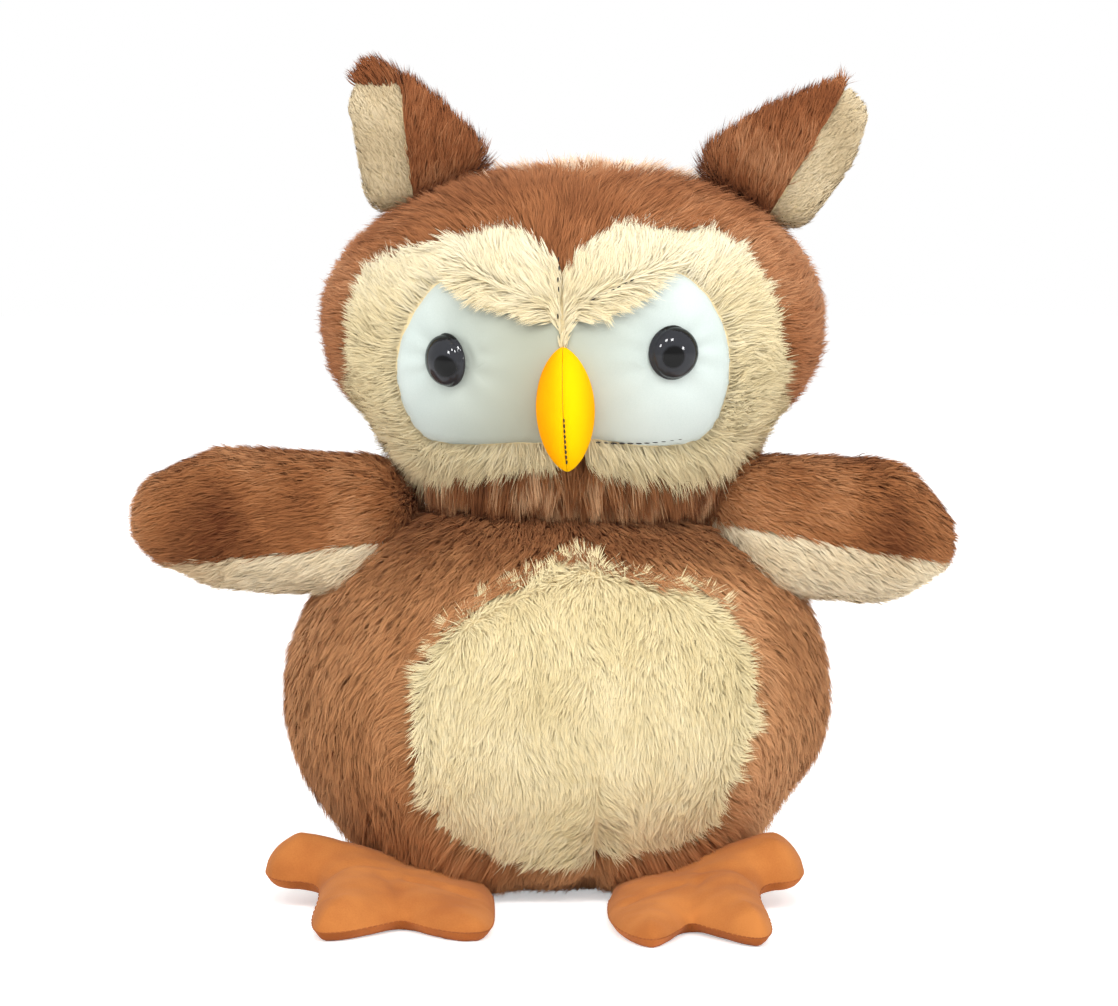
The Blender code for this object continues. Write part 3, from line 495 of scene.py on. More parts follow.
BELLY_LOOP = outline([
    (5, 46), (-8, 39.5), (-22, 33), (-33, 23), (-39, 9), (-39, -12), (-31, -27), (-17, -35.5), (-1, -39),
    (6, -37.5), (20, -34.5), (36, -32), (45, -23), (50, -8), (54, 4), (52, 18), (45, 31), (36, 38),
    (26, 39), (15, 42)])
FACE_LOOP = outline([
    (-60.5, -1), (-59.5, 12), (-54, 22), (-40, 28), (-25, 31), (-12, 31), (-5, 27), (1, 20), (7, 27),
    (17, 31), (30, 30), (41, 29), (49, 23), (55, 12), (58.5, -2), (58.5, -15), (56, -26), (46, -33),
    (32, -34), (17, -32.5), (3, -30), (-18, -30.5), (-36, -32), (-49, -33.5), (-58, -29), (-61.5, -16)])
EYE_LOOPS = {
    "left": outline([(-1, 7.5), (-1, -12), (-1, -25), (-14, -26), (-32, -26.5), (-42, -24), (-47, -15),
                     (-48.5, -5), (-46.5, 5), (-41, 14), (-33, 20.5), (-20, 14), (-9, 9)]),
    "right": outline([(1, 7), (1, -12), (1, -25), (8, -25.5), (19, -28), (31, -28.5), (39, -25.5),
                      (44.5, -15), (46, -3), (44, 7), (38.5, 16), (30, 21), (19, 15.5), (10, 10)])}


def eye_gap(local):
    """Distance from the nearer satin patch, over the front view."""
    flat = local[:, [0, 2]]
    return np.minimum(edge_distance(flat, EYE_LOOPS["left"]), edge_distance(flat, EYE_LOOPS["right"]))


print("belly outline of", len(BELLY_LOOP), "points")

# %% [markdown]
# ## Body and belly
# The body's knit is one blown form. A dart is sewn at the bottom of the belly, where the cloth
# pulls in, and the filling leaves low bumps. Both are moves of the form's vertices along their
# normals, which keeps the mesh closed. The belly patch is cut out along its outline.

# %% Slow wander of a value over a surface
def drift(points, size, seed):
    """Smooth noise between about -1 and 1 that changes over a length."""
    dice = np.random.default_rng(seed)
    total = np.zeros(len(points))
    for _ in range(9):
        way = dice.normal(size=3)
        way /= np.linalg.norm(way)
        total += np.sin(points @ way * (2 * math.pi / size) * dice.uniform(0.6, 1.4)
                        + dice.uniform(0, 2 * math.pi))
    return total / 3.2


def bend_form(mesh, form, move):
    """Push each vertex of a form along its normal by move(points)."""
    points = np.array([vert.co for vert in mesh.verts])
    normals = form.normal(points)
    moved = points + normals * move(points)[:, None]
    for vert, place in zip(mesh.verts, moved):
        vert.co = place
    return mesh


DART = np.array([(0.0115, -0.030), (0.0105, -0.038), (0.0070, -0.045)])


def hollow(flat, x, z, reach):
    """1 at a place of the front view, falling off over a reach."""
    return np.exp(-((flat[:, 0] - x) / reach) ** 2 - ((flat[:, 1] - z) / reach) ** 2)


def body_bumps(points):
    front = points[:, 1] < 0
    flat = points[:, [0, 2]]
    dart = np.where(front, np.exp(-(line_distance(flat, DART) / 0.0030) ** 2), 0)
    seam = np.where(front, np.exp(-(edge_distance(flat, BELLY_LOOP) / 0.0030) ** 2), 0)
    lean = 0.0022 * hollow(flat, 0.068, -0.030, 0.022) - 0.0014 * hollow(flat, -0.066, -0.030, 0.018)
    lean -= 0.0026 * (hollow(flat, -0.077, 0.002, 0.024) + hollow(flat, 0.077, -0.006, 0.022))
    lean -= np.where(front, 0.0022 * np.exp(-((points[:, 2] + 0.040) / 0.009) ** 2), 0)
    return 0.0007 * drift(points, 0.06, 3) - 0.0028 * dart - 0.0004 * seam - lean


def keep_faces(mesh, wanted):
    """Delete the faces whose centre isn't wanted."""
    mesh.faces.ensure_lookup_table()
    centres = np.array([face.calc_center_median() for face in mesh.faces])
    keep = wanted(centres)
    bmesh.ops.delete(mesh, geom=[f for f, k in zip(mesh.faces, keep) if not k], context="FACES")
    return mesh


def make_body_skin(name, material, replaces, wanted):
    mesh = bend_form(BODY.mesh(PILE_ROOM), BODY, body_bumps)
    for vert in mesh.verts:
        vert.co.z = min(max(vert.co.z, 0.0008 - WAIST_Z), NECK_Z - WAIST_Z - 0.0001)
    keep_faces(mesh, wanted)
    place_mesh(mesh, BODY_FRAME)
    piece = put(name, mesh, material, "body", replaces)
    return piece


def on_belly(centres):
    return (centres[:, 1] < 0) & (edge_distance(centres[:, [0, 2]], BELLY_LOOP) < 0)


body_plush = make_body_skin("body_plush", BROWN_KNIT, ["body_skin"],
                            lambda c: ~on_belly(c))
belly_plush = make_body_skin("belly_plush", CREAM_KNIT, ["belly_panel"], on_belly)
print("body faces:", len(body_plush.data.polygons), "belly faces:", len(belly_plush.data.polygons))

# %% [markdown]
# ## Head
# The head's knit is a second blown form, turned and tipped a little as the photograph shows it.
# The face is two panels that meet on a sunken middle seam, with a ridge of pile over each eye.
# The satin patches are separate, so the plush panels stop at their outline.

# %% Head skin
FACE_SEAM = np.array([(0.0, 0.024), (0.0, 0.016), (0.0, 0.004)])


def head_bumps(points):
    front = points[:, 1] < 0
    flat = points[:, [0, 2]]
    seam = np.where(front, np.exp(-(line_distance(flat, FACE_SEAM) / 0.0035) ** 2), 0)
    rim = np.where(front, np.exp(-(edge_distance(flat, FACE_LOOP) / 0.0022) ** 2), 0)
    flatten = np.where(front, np.clip((eye_gap(points) - 0.001) / 0.004, 0, 1), 1)
    lean = 0.0036 * hollow(flat, -0.066, -0.024, 0.018) + 0.0042 * hollow(flat, 0.066, -0.028, 0.018)
    lean -= 0.0026 * hollow(flat, -0.068, 0.018, 0.018) + 0.0010 * hollow(flat, 0.068, 0.018, 0.018)
    return (0.0006 * drift(points, 0.055, 8) - 0.0022 * seam - 0.0007 * rim) * flatten - lean


def make_head_skin(name, material, replaces, wanted):
    mesh = bend_form(HEAD.mesh(PILE_ROOM), HEAD, head_bumps)
    keep_faces(mesh, wanted)
    place_mesh(mesh, HEAD_FRAME)
    for vert in mesh.verts:
        vert.co.z = max(vert.co.z, NECK_Z + 0.0001)
    piece = put(name, mesh, material, "head", replaces)
    return piece


def on_face(centres):
    return (centres[:, 1] < 0) & (edge_distance(centres[:, [0, 2]], FACE_LOOP) < 0)


def off_satin(centres, name):
    return edge_distance(centres[:, [0, 2]], EYE_LOOPS[name]) > -0.0022


head_plush = make_head_skin("head_plush", BROWN_KNIT, ["head_skin"],
                            lambda c: ~on_face(c))
face_plush = {}
for name, side in (("left", -1), ("right", 1)):
    face_plush[name] = make_head_skin(
        f"face_plush_{name}", CREAM_KNIT, [f"face_panel_{name}"],
        lambda c, name=name, side=side: on_face(c) & (c[:, 0] * side >= 0) & off_satin(c, name))
print("head faces:", len(head_plush.data.polygons))


# %% [markdown]
# ## Satin eye patches
# Each patch is a smooth piece of satin, so its edge has to be clean. Rings of points shrink from
# the outline to its middle and are laid on the head's curve. The satin sinks round the eye,
# where the washer behind pulls it in, and its edge turns under.

# %% Eye patches
EYE_PLACES = {"left": (-0.0326, -0.0017), "right": (0.0300, -0.0015)}


def ring_patch(loop, shares):
    """A bmesh fan of rings inside an outline, with the share of each ring."""
    mesh = bmesh.new()
    middle = loop.mean(0)
    rings = []
    for share in shares:
        ring = middle + (loop - middle) * share
        rings.append([mesh.verts.new((x, 0, z)) for x, z in ring])
    for outer, inner in zip(rings, rings[1:]):
        count = len(outer)
        for i in range(count):
            j = (i + 1) % count
            mesh.faces.new((outer[i], outer[j], inner[j], inner[i]))
    centre = mesh.verts.new((middle[0], 0, middle[1]))
    last = rings[-1]
    for i in range(len(last)):
        mesh.faces.new((last[i], last[(i + 1) % len(last)], centre))
    return mesh


SATIN_SINK = 0.0016
PATCH_SHARES = [1.02, 1.0, 0.985, 0.96, 0.92, 0.87, 0.8, 0.72, 0.63, 0.53, 0.42, 0.3, 0.17]


def satin_depth(x, z, side_name):
    """How far the satin lies below the head's outer surface."""
    loop = EYE_LOOPS[side_name]
    flat = np.array([[x, z]])
    edge = -edge_distance(flat, loop)[0]
    eye = np.array(EYE_PLACES[side_name])
    near = np.hypot(x - eye[0], z - eye[1])
    dimple = 0.0016 * math.exp(-(near / 0.0095) ** 2)
    tuck = 0.0010 * math.exp(-max(edge, 0) / 0.0007) + (0.001 if edge < 0 else 0)
    turn = math.atan2(z - eye[1], x - eye[0])
    wrinkle = math.sin(turn * 9 + 1.3 * math.sin(turn * 2))
    pull = 0.00028 * wrinkle * math.exp(-((near - 0.010) / 0.006) ** 2)
    return SATIN_SINK + dimple + tuck + pull


satin = {}
for name, side in (("left", -1), ("right", 1)):
    mesh = ring_patch(EYE_LOOPS[name], PATCH_SHARES)
    for vert in mesh.verts:
        x, z = vert.co.x, vert.co.z
        vert.co.y = float(HEAD.front(x, z, satin_depth(x, z, name)))
    bmesh.ops.subdivide_edges(mesh, edges=mesh.edges[:], cuts=1, use_grid_fill=True, smooth=0.0)
    face_out(mesh, Vector((0, -1, 0)))
    place_mesh(mesh, HEAD_FRAME)
    satin[name] = put(f"eye_satin_{name}", mesh, SATIN, "head", [f"eye_panel_{name}"])
print("satin faces:", len(satin["left"].data.polygons))


# %% [markdown]
# ## Eyes
# A safety eye is a turned piece: a thin collar, a dome and a post through the satin. One half
# profile is spun round the post, with enough steps that its glints stay round.

# %% Turned eyes
EYE_TILTS = {"left": math.radians(24), "right": math.radians(-9)}
PUPIL_SHIFTS = {"left": (0.0060, -0.0007), "right": (-0.0026, -0.0007)}


def eye_frame(name, inset):
    x, z = EYE_PLACES[name]
    seat = Vector((x, float(HEAD.front(x, z, inset)), z))
    out = Vector(HEAD.normal(seat)[0])
    turn = Matrix.Rotation(-EYE_TILTS[name], 3, "Z")
    return HEAD_FRAME @ seat, (HEAD_FRAME.to_3x3() @ (turn @ out)).normalized()


def turned(profile, seat, out, steps=64):
    mesh = bmesh.new()
    verts = [mesh.verts.new((radius, 0, height)) for radius, height in profile]
    edges = [mesh.edges.new(pair) for pair in zip(verts, verts[1:])]
    bmesh.ops.spin(mesh, geom=verts + edges, cent=(0, 0, 0), axis=(0, 0, 1), angle=2 * math.pi,
                   steps=steps, use_merge=True)
    bmesh.ops.remove_doubles(mesh, verts=mesh.verts[:], dist=1e-6)
    turn = out.to_track_quat("Z", "Y").to_matrix().to_4x4()
    place_mesh(mesh, Matrix.Translation(seat) @ turn)
    bmesh.ops.recalc_face_normals(mesh, faces=mesh.faces[:])
    return mesh


for name in ("left", "right"):
    seat, out = eye_frame(name, 0.0038)
    profile = [(0, -0.009), (0.002, -0.009), (0.002, -0.0004), (0.0070, -0.0003), (0.0076, 0.0002),
               (0.0077, 0.0008), (0.0075, 0.0013), (0.0073, 0.0015)]
    for step in range(1, 25):
        angle = math.radians(step * 3.75)
        profile.append((0.0072 * math.cos(angle), 0.0016 + 0.0044 * math.sin(angle)))
    profile[-1] = (0, 0.006)
    dome = put(f"eye_dome_{name}", turned(profile, seat, out), EYE_BLACK, "head",
               [f"eye_{name}"])
    centre = seat + Vector((PUPIL_SHIFTS[name][0], 0, PUPIL_SHIFTS[name][1]))
    away = [((v.co - centre) - out * (v.co - centre).dot(out)).length for v in dome.data.vertices]
    share = [min(max((0.0034 - gap) / 0.0005, 0), 1) + (gap > 0.0073) for gap in away]
    dome.data.attributes.new("pupil", "FLOAT", "POINT").data.foreach_set("value", share)
    frame["nodes"][f"eye_washer_{name}"].data.materials.clear()
    frame["nodes"][f"eye_washer_{name}"].data.materials.append(WASHER_WHITE)
print("eyes turned")


# %% [markdown]
# ## Beak
# The beak is a felt almond of two halves with a seam down the middle. The cloth is drawn in along
# that seam, and dark thread shows in it as a row of dots.

# %% Beak halves
BEAK_Z = -0.0160
BEAK_HALF_WIDTH, BEAK_DEPTH, BEAK_HALF_HEIGHT = 0.0082, 0.012, 0.0176


def beak_form():
    mesh = bmesh.new()
    bmesh.ops.create_uvsphere(mesh, u_segments=64, v_segments=48, radius=1)
    middle = Vector((0, float(HEAD.front(0, BEAK_Z)), BEAK_Z))
    for vert in mesh.verts:
        x, y, height = vert.co
        level = math.hypot(x, y)
        slim = level ** 0.3 if level > 1e-9 else 1
        groove = 1 - 0.07 * math.exp(-(x / 0.10) ** 2)
        vert.co = middle + Vector((x * slim * BEAK_HALF_WIDTH, y * slim * BEAK_DEPTH * groove,
                                   height * BEAK_HALF_HEIGHT))
    return mesh


for name, side in (("left", -1), ("right", 1)):
    mesh = beak_form()
    cut = Vector((side * 0.00005, 0, 0))
    bmesh.ops.bisect_plane(mesh, geom=everything(mesh), plane_co=cut, plane_no=(-side, 0, 0),
                           clear_outer=True)
    face_out(mesh, Vector((0, -1, 0)), lambda face: face.calc_center_median().y < -0.06)
    place_mesh(mesh, HEAD_FRAME)
    piece = put(f"beak_felt_{name}", mesh, FELT, "head", [f"beak_{name}"])
print("beak made")


# %% [markdown]
# ## Ears and wings
# Ears and wings are soft cones and arms. A skin is stretched over a few balls, remeshed into even
# squares and smoothed, which rounds it the way filling does. Where plush of two colours meets,
# the skin is cut on a plane, because the real seam lies in one.

# %% Skin over balls
SKIN_GRID = 0.0014


def stretched_skin(name, balls, depth_share, frame_matrix):
    """A soft closed skin over balls, flattened from front to back."""
    mesh = bmesh.new()
    for centre, radius in balls:
        flat = Matrix.Diagonal((1, depth_share, 1, 1))
        bmesh.ops.create_uvsphere(mesh, u_segments=32, v_segments=16, radius=radius,
                                  matrix=Matrix.Translation(centre) @ flat)
    bmesh.ops.delete(mesh, geom=mesh.edges[:], context="EDGES_FACES")
    hull = bmesh.ops.convex_hull(mesh, input=mesh.verts[:])
    spare = [v for v in hull["geom_interior"] + hull["geom_unused"] if isinstance(v, bmesh.types.BMVert)]
    bmesh.ops.delete(mesh, geom=list(set(spare)), context="VERTS")
    place_mesh(mesh, frame_matrix)
    data = bpy.data.meshes.new(name)
    mesh.to_mesh(data)
    mesh.free()
    obj = bpy.data.objects.new(name, data)
    bpy.context.scene.collection.objects.link(obj)
    remesh = obj.modifiers.new("even", "REMESH")
    remesh.mode = "VOXEL"
    remesh.voxel_size = SKIN_GRID
    soft = obj.modifiers.new("soft", "SMOOTH")
    soft.iterations = 14
    soft.factor = 0.5
    depsgraph = bpy.context.evaluated_depsgraph_get()
    result = bmesh.new()
    result.from_mesh(obj.evaluated_get(depsgraph).to_mesh())
    bpy.data.objects.remove(obj)
    return result


def cut_half(mesh, point, normal):
    """Copy of a mesh without what lies on the normal's side of a plane."""
    half = mesh.copy()
    bmesh.ops.bisect_plane(half, geom=everything(half), plane_co=point, plane_no=normal,
                           clear_outer=True)
    return half


# %% Sizes of the ears
EARS = {"left": dict(side=-1, out=0.0405, length=0.0270, lean=25, seam=0.002, seam_lean=6,
                     corners=[((-0.0580, 0, 0.2265), 0.0030)]),
        "right": dict(side=1, out=0.0525, length=0.0290, lean=43, seam=0.007, seam_lean=31,
                      corners=[((0.0866, -0.002, 0.2235), 0.0030), ((0.0805, -0.002, 0.2115), 0.0050)])}


def ear_layout(name):
    ear = EARS[name]
    side = ear["side"]
    height = HEAD.rise * (1 - (ear["out"] / HEAD.width) ** HEAD.upper) ** (1 / HEAD.upper)
    root = (side * ear["out"], 0, height)
    point, normal = Vector(root), Vector(HEAD.normal(root)[0])
    axis = Vector((normal.z, 0, -normal.x)) * side
    middle = point + normal * 0.0113
    turn = HEAD_FRAME.to_3x3().inverted()
    lean = math.radians(ear["lean"])
    way = turn @ Vector((side * math.sin(lean), 0, math.cos(lean)))
    down = -normal * 0.004
    balls = [(middle + down - axis * 0.0095, 0.0078), (middle + down + axis * 0.0095, 0.0078),
             (middle + way * ear["length"] * 0.3, 0.0112), (middle + way * ear["length"] * 1.06, 0.0024)]
    balls += [(HEAD_FRAME.inverted() @ Vector(place), radius) for place, radius in ear["corners"]]
    seam_lean = math.radians(ear["seam_lean"])
    out = turn @ Vector((side * math.cos(seam_lean), 0, -math.sin(seam_lean)))
    seam = middle + turn @ Vector((side * ear["seam"], 0, 0))
    return balls, HEAD_FRAME @ seam, HEAD_FRAME.to_3x3() @ out, HEAD_FRAME.to_3x3() @ way


ear_parts = {}
for name in ("left", "right"):
    balls, seam, out, way = ear_layout(name)
    whole = stretched_skin(f"ear_{name}", balls, 0.72, HEAD_FRAME)
    brown = put(f"ear_plush_inner_{name}", cut_half(whole, seam, out), BROWN_KNIT, f"ear_{name}",
                [f"ear_inner_{name}"])
    cream = put(f"ear_plush_outer_{name}", cut_half(whole, seam, -out), CREAM_KNIT, f"ear_{name}",
                [f"ear_outer_{name}"])
    ear_parts[name] = dict(brown=brown, cream=cream, way=way, out=out)
    whole.free()
    print("ear", name, "faces:", len(brown.data.polygons) + len(cream.data.polygons))

# %% Sizes of the wings
WINGS = {"left": dict(side=-1, length=0.0352, droop=-1, slope=7, seam=0.0068, girth=0.0190, tip=0.0135),
         "right": dict(side=1, length=0.0277, droop=11, slope=11, seam=0.0036, girth=0.0195, tip=0.0124)}


def wing_layout(name):
    wing = WINGS[name]
    side = wing["side"]
    middle = Vector((side * 0.074385, -0.004, 0.105707))
    axis = Vector((side * 0.6998, 0, -0.7143))
    droop = math.radians(wing["droop"])
    way = Vector((side * math.cos(droop), 0, -math.sin(droop)))
    normal = Vector((side * 0.7143, 0, 0.6998))
    balls = [(middle - normal * 0.0015 - axis * 0.0085, 0.0118), (middle + axis * 0.0085, 0.0136),
             (Vector((side * 0.0570, -0.0105, 0.1095)), 0.0140),
             (Vector((side * 0.0620, -0.0150, 0.0985)), 0.0115),
             (Vector((side * 0.0500, -0.0040, 0.1120)), 0.0095),
             (middle + way * wing["length"] * 0.6, wing["girth"]),
             (middle + way * wing["length"], wing["tip"])]
    slope = math.radians(wing["slope"])
    up = Vector((side * math.sin(slope), 0, math.cos(slope)))
    seam = middle - Vector((0, 0, wing["seam"]))
    return balls, seam, up, way


wing_parts = {}
for name in ("left", "right"):
    balls, seam, up, way = wing_layout(name)
    side = WINGS[name]["side"]
    joint = ("body", f"wing_{name}", (side * 0.060, -0.004, 0.108), (side * 0.082, -0.004, 0.103))
    whole = stretched_skin(f"wing_{name}", balls, 0.85, Matrix())
    brown = put(f"wing_plush_upper_{name}", cut_half(whole, seam, -up), BROWN_KNIT, joint,
                [f"wing_upper_{name}"])
    cream = put(f"wing_plush_lower_{name}", cut_half(whole, seam, up), CREAM_KNIT, joint,
                [f"wing_lower_{name}"])
    wing_parts[name] = dict(brown=brown, cream=cream, way=way, joint=joint)
    whole.free()
    print("wing", name, "faces:", len(brown.data.polygons) + len(cream.data.polygons))

# %% [markdown]
# ## Feet
# Each foot is two pieces of suede sewn round a three-toed outline and stuffed. Two flat sheets
# that share an outline are pushed apart by how far each point lies from the edge, which makes the
# hollows between the toes by itself.

# %% Foot outline
FOOT_SHARES = [
    (0.10, -0.02), (0.02, 0.25), (0.0, 0.55), (0.0, 0.85), (0.03, 0.97), (0.10, 1.0), (0.19, 0.97),
    (0.29, 0.88), (0.38, 0.79), (0.48, 0.88), (0.59, 0.97), (0.69, 1.0), (0.74, 0.96), (0.76, 0.8),
    (0.75, 0.5), (0.78, 0.35), (0.90, 0.33), (0.98, 0.27), (1.0, 0.15), (0.95, 0.02), (0.78, -0.05),
    (0.45, -0.07)]
RIGHT_FOOT_SHARES = [
    (0.10, -0.02), (0.02, 0.25), (0.0, 0.52), (0.02, 0.74), (0.09, 0.91), (0.18, 1.0), (0.26, 0.98),
    (0.33, 0.87), (0.40, 0.75), (0.50, 0.84), (0.62, 0.95), (0.72, 0.99), (0.78, 0.94), (0.79, 0.79),
    (0.76, 0.5), (0.79, 0.35), (0.90, 0.33), (0.98, 0.27), (1.0, 0.15), (0.95, 0.02), (0.78, -0.05),
    (0.45, -0.07)]
FEET = {"left": dict(side=-1, inner=0.0180, width=0.0655, rear=0.034, length=0.0635, sink=0.0068),
        "right": dict(side=1, inner=0.0135, width=0.0560, rear=0.036, length=0.0690, sink=0.0082)}
FOOT_TILT = math.radians(7.4)
FOOT_DIP = 0.0034


def foot_frame(name):
    foot = FEET[name]
    front = Vector((0, -foot["rear"] - foot["length"], 0))
    rise = Vector((0, 0, FOOT_DIP - 0.0005))
    return Matrix.Translation(front + rise) @ Matrix.Rotation(FOOT_TILT, 4, "X")


FOOT_FOLDS = [[(0.37, 0.80), (0.40, 0.62), (0.46, 0.46)], [(0.74, 0.45), (0.62, 0.36), (0.48, 0.32)],
              [(0.10, 0.60), (0.24, 0.50), (0.36, 0.44)]]


def foot_places(name, shares):
    """Shares of a foot's width and length as places on its sheet."""
    foot = FEET[name]
    return np.array([(foot["side"] * (foot["inner"] + u * foot["width"]), foot["length"] * (1 - w))
                     for u, w in shares])


def foot_loop(name):
    return smooth_loop(foot_places(name, FOOT_SHARES if name == "left" else RIGHT_FOOT_SHARES), 5)


def foot_sink(name, x, y):
    """How low the inner heel lies, where the body rests on it."""
    foot = FEET[name]
    across = (foot["side"] * x - foot["inner"]) / foot["width"]
    inner = min(max((0.85 - across) / 0.5, 0), 1)
    return foot["sink"] * inner * min(max(y / foot["length"], 0), 1)


def foot_sheet(loop, heights):
    """A sheet inside an outline, raised by heights(points, distance from the edge)."""
    mesh = bmesh.new()
    ring = [mesh.verts.new((x, y, 0)) for x, y in loop]
    face = mesh.faces.new(ring)
    bmesh.ops.triangulate(mesh, faces=[face])
    for _ in range(4):
        long = [e for e in mesh.edges if e.calc_length() > 0.0016 and not e.is_boundary]
        if not long:
            break
        bmesh.ops.subdivide_edges(mesh, edges=long, cuts=1)
        bmesh.ops.triangulate(mesh, faces=[f for f in mesh.faces if len(f.verts) > 3])
        bmesh.ops.beautify_fill(mesh, faces=mesh.faces[:],
                                edges=[e for e in mesh.edges if not e.is_boundary])
        inner = [v for v in mesh.verts if not v.is_boundary]
        for _ in range(3):
            bmesh.ops.smooth_vert(mesh, verts=inner, factor=0.5, use_axis_x=True, use_axis_y=True)
    points = np.array([v.co[:2] for v in mesh.verts])
    edge = np.maximum(-edge_distance(points, loop), 0)
    for vert, height in zip(mesh.verts, heights(points, edge)):
        vert.co.z = height
    return mesh


def make_foot(name):
    loop = foot_loop(name)
    foot = FEET[name]

    def top(points, edge):
        out = np.clip((foot["side"] * points[:, 0] - foot["inner"]) / foot["width"], 0, 1)
        plump = (0.0046 + 0.0044 * out) * (1 - (1 - np.clip(edge / 0.0110, 0, 1)) ** 2) ** 0.6
        back = np.clip(points[:, 1] / foot["length"], 0, 1)
        heel = 0.0042 * out * np.clip(edge / 0.014, 0, 1) * back ** 1.3
        solid = np.column_stack([points, np.zeros(len(points))])
        soft = 0.0003 * drift(solid, 0.016, 5) + 0.0001 * drift(solid, 0.006, 6)
        folds = sum(np.exp(-(line_distance(points, foot_places(name, line)) / 0.0022) ** 2)
                    for line in FOOT_FOLDS)
        return plump + heel + (soft - 0.0011 * folds) * np.clip(edge / 0.004, 0, 1)

    def bottom(points, edge):
        return -FOOT_DIP * (1 - (1 - np.clip(edge / 0.005, 0, 1)) ** 3)

    upper, sole = foot_sheet(loop, top), foot_sheet(loop, bottom)
    for mesh, want in ((upper, 1), (sole, -1)):
        for vert in mesh.verts:
            vert.co.z -= foot_sink(name, vert.co.x, vert.co.y)
        face_out(mesh, Vector((0, 0, want)))
        place_mesh(mesh, foot_frame(name))
        for vert in mesh.verts:
            vert.co.z = max(vert.co.z, 0.0)
    upper = put(f"foot_suede_upper_{name}", upper, SUEDE, f"foot_{name}",
                [f"foot_upper_{name}"])
    sole = put(f"foot_suede_sole_{name}", sole, SOLE, f"foot_{name}",
               [f"foot_sole_{name}"])
    return upper, sole


foot_parts = {name: make_foot(name) for name in FEET}
print("foot faces:", len(foot_parts["left"][0].data.polygons))


# %% [markdown]
# ## Filling
# Inside every skin lies a lump of polyester fibre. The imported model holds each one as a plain
# solid; a copy is remeshed, so that its surface is soft and even, and takes the fibre's finish.

# %% Fibre filling
def make_filling(node_name, body):
    source = frame["nodes"][node_name]
    mesh = bmesh.new()
    mesh.from_mesh(source.data)
    if "foot" in node_name:
        foot = FEET["left" if "left" in node_name else "right"]
        for vert in mesh.verts:
            out = min(max((foot["side"] * vert.co.x - foot["inner"]) / foot["width"], 0), 1)
            vert.co.z = 0.0015 + max(vert.co.z - 0.0015, 0) * (0.48 + 0.32 * out)
    bmesh.ops.remove_doubles(mesh, verts=mesh.verts[:], dist=1e-6)
    data = bpy.data.meshes.new(node_name)
    mesh.to_mesh(data)
    mesh.free()
    obj = bpy.data.objects.new(f"{node_name}_source", data)
    bpy.context.scene.collection.objects.link(obj)
    size = max(obj.dimensions)
    remesh = obj.modifiers.new("even", "REMESH")
    remesh.mode = "VOXEL"
    remesh.voxel_size = max(0.001, min(0.003, size / 40))
    soft = obj.modifiers.new("soft", "SMOOTH")
    soft.iterations = 4
    inset = obj.modifiers.new("inset", "DISPLACE")
    inset.mid_level = 0
    inset.strength = -0.0014 if "foot" in node_name else -0.0005
    result = bmesh.new()
    result.from_mesh(obj.evaluated_get(bpy.context.evaluated_depsgraph_get()).to_mesh())
    bpy.data.objects.remove(obj)
    piece = put(node_name.replace("stuffing", "fibre"), result, FILLING, body, [node_name])
    return piece


for body, members in frame["record"]["behaviour"]["bodies"].items():
    for member in members:
        if "stuffing" in member:
            make_filling(member, body)
print("fillings made")

# %% [markdown]
# ## Pile
# The look of the toy is its long pile. Blender's hair curves aren't part of an exported model, so
# each hair is a slim blade of one quad and one triangle. Hairs are sown at random over a skin,
# laid along a comb direction, gathered into tufts, and shaded with the skin's own normals so
# that the coat catches light as one soft surface. This is the one mesh written as arrays, because
# no operator lays out half a million hairs in a few seconds.

# %% Sowing
def sow(piece, density, dice, wanted=None):
    """Random points on a skin with their normals."""
    data = piece.data
    data.calc_loop_triangles()
    corners = np.empty(len(data.loop_triangles) * 3, np.int32)
    data.loop_triangles.foreach_get("vertices", corners)
    corners = corners.reshape(-1, 3)
    places = np.empty(len(data.vertices) * 3, np.float32)
    data.vertices.foreach_get("co", places)
    places = places.reshape(-1, 3).astype(float)
    ups = np.empty(len(data.vertices) * 3, np.float32)
    data.vertex_normals.foreach_get("vector", ups)
    ups = ups.reshape(-1, 3).astype(float)
    a, b, c = (places[corners[:, k]] for k in range(3))
    area = np.linalg.norm(np.cross(b - a, c - a), axis=1) / 2
    count = int(area.sum() * density * 1e6)
    pick = dice.choice(len(corners), count, p=area / area.sum())
    u, v = dice.random(count), dice.random(count)
    fold = u + v > 1
    u[fold], v[fold] = 1 - u[fold], 1 - v[fold]
    w = 1 - u - v
    points = a[pick] * w[:, None] + b[pick] * u[:, None] + c[pick] * v[:, None]
    normals = (ups[corners[pick, 0]] * w[:, None] + ups[corners[pick, 1]] * u[:, None]
               + ups[corners[pick, 2]] * v[:, None])
    normals /= np.linalg.norm(normals, axis=1)[:, None]
    if wanted is not None:
        keep = wanted(points)
        points, normals = points[keep], normals[keep]
    return points, normals


def share(value):
    """A value held between 0 and 1."""
    return np.clip(value, 0, 1)


def arrows(x, y, z):
    """Vectors from their parts, each a number or a row of numbers."""
    return np.stack(np.broadcast_arrays(x, y, z), 1)


def swirl(points, size, seed):
    """A slow wander of direction over a skin."""
    return arrows(*(drift(points, size, seed + k) for k in range(3)))


def unit(vectors):
    return vectors / np.maximum(np.linalg.norm(vectors, axis=1), 1e-9)[:, None]


def tufts(points, size, dice):
    """Which tuft each point belongs to."""
    turn, _ = np.linalg.qr(dice.normal(size=(3, 3)))
    wobble = points @ turn + dice.normal(0, size * 0.22, points.shape)
    cells = np.floor(wobble / size).astype(np.int64)
    key = (cells[:, 0] * 73856093) ^ (cells[:, 1] * 19349663) ^ (cells[:, 2] * 83492791)
    _, tuft = np.unique(key, return_inverse=True)
    return tuft


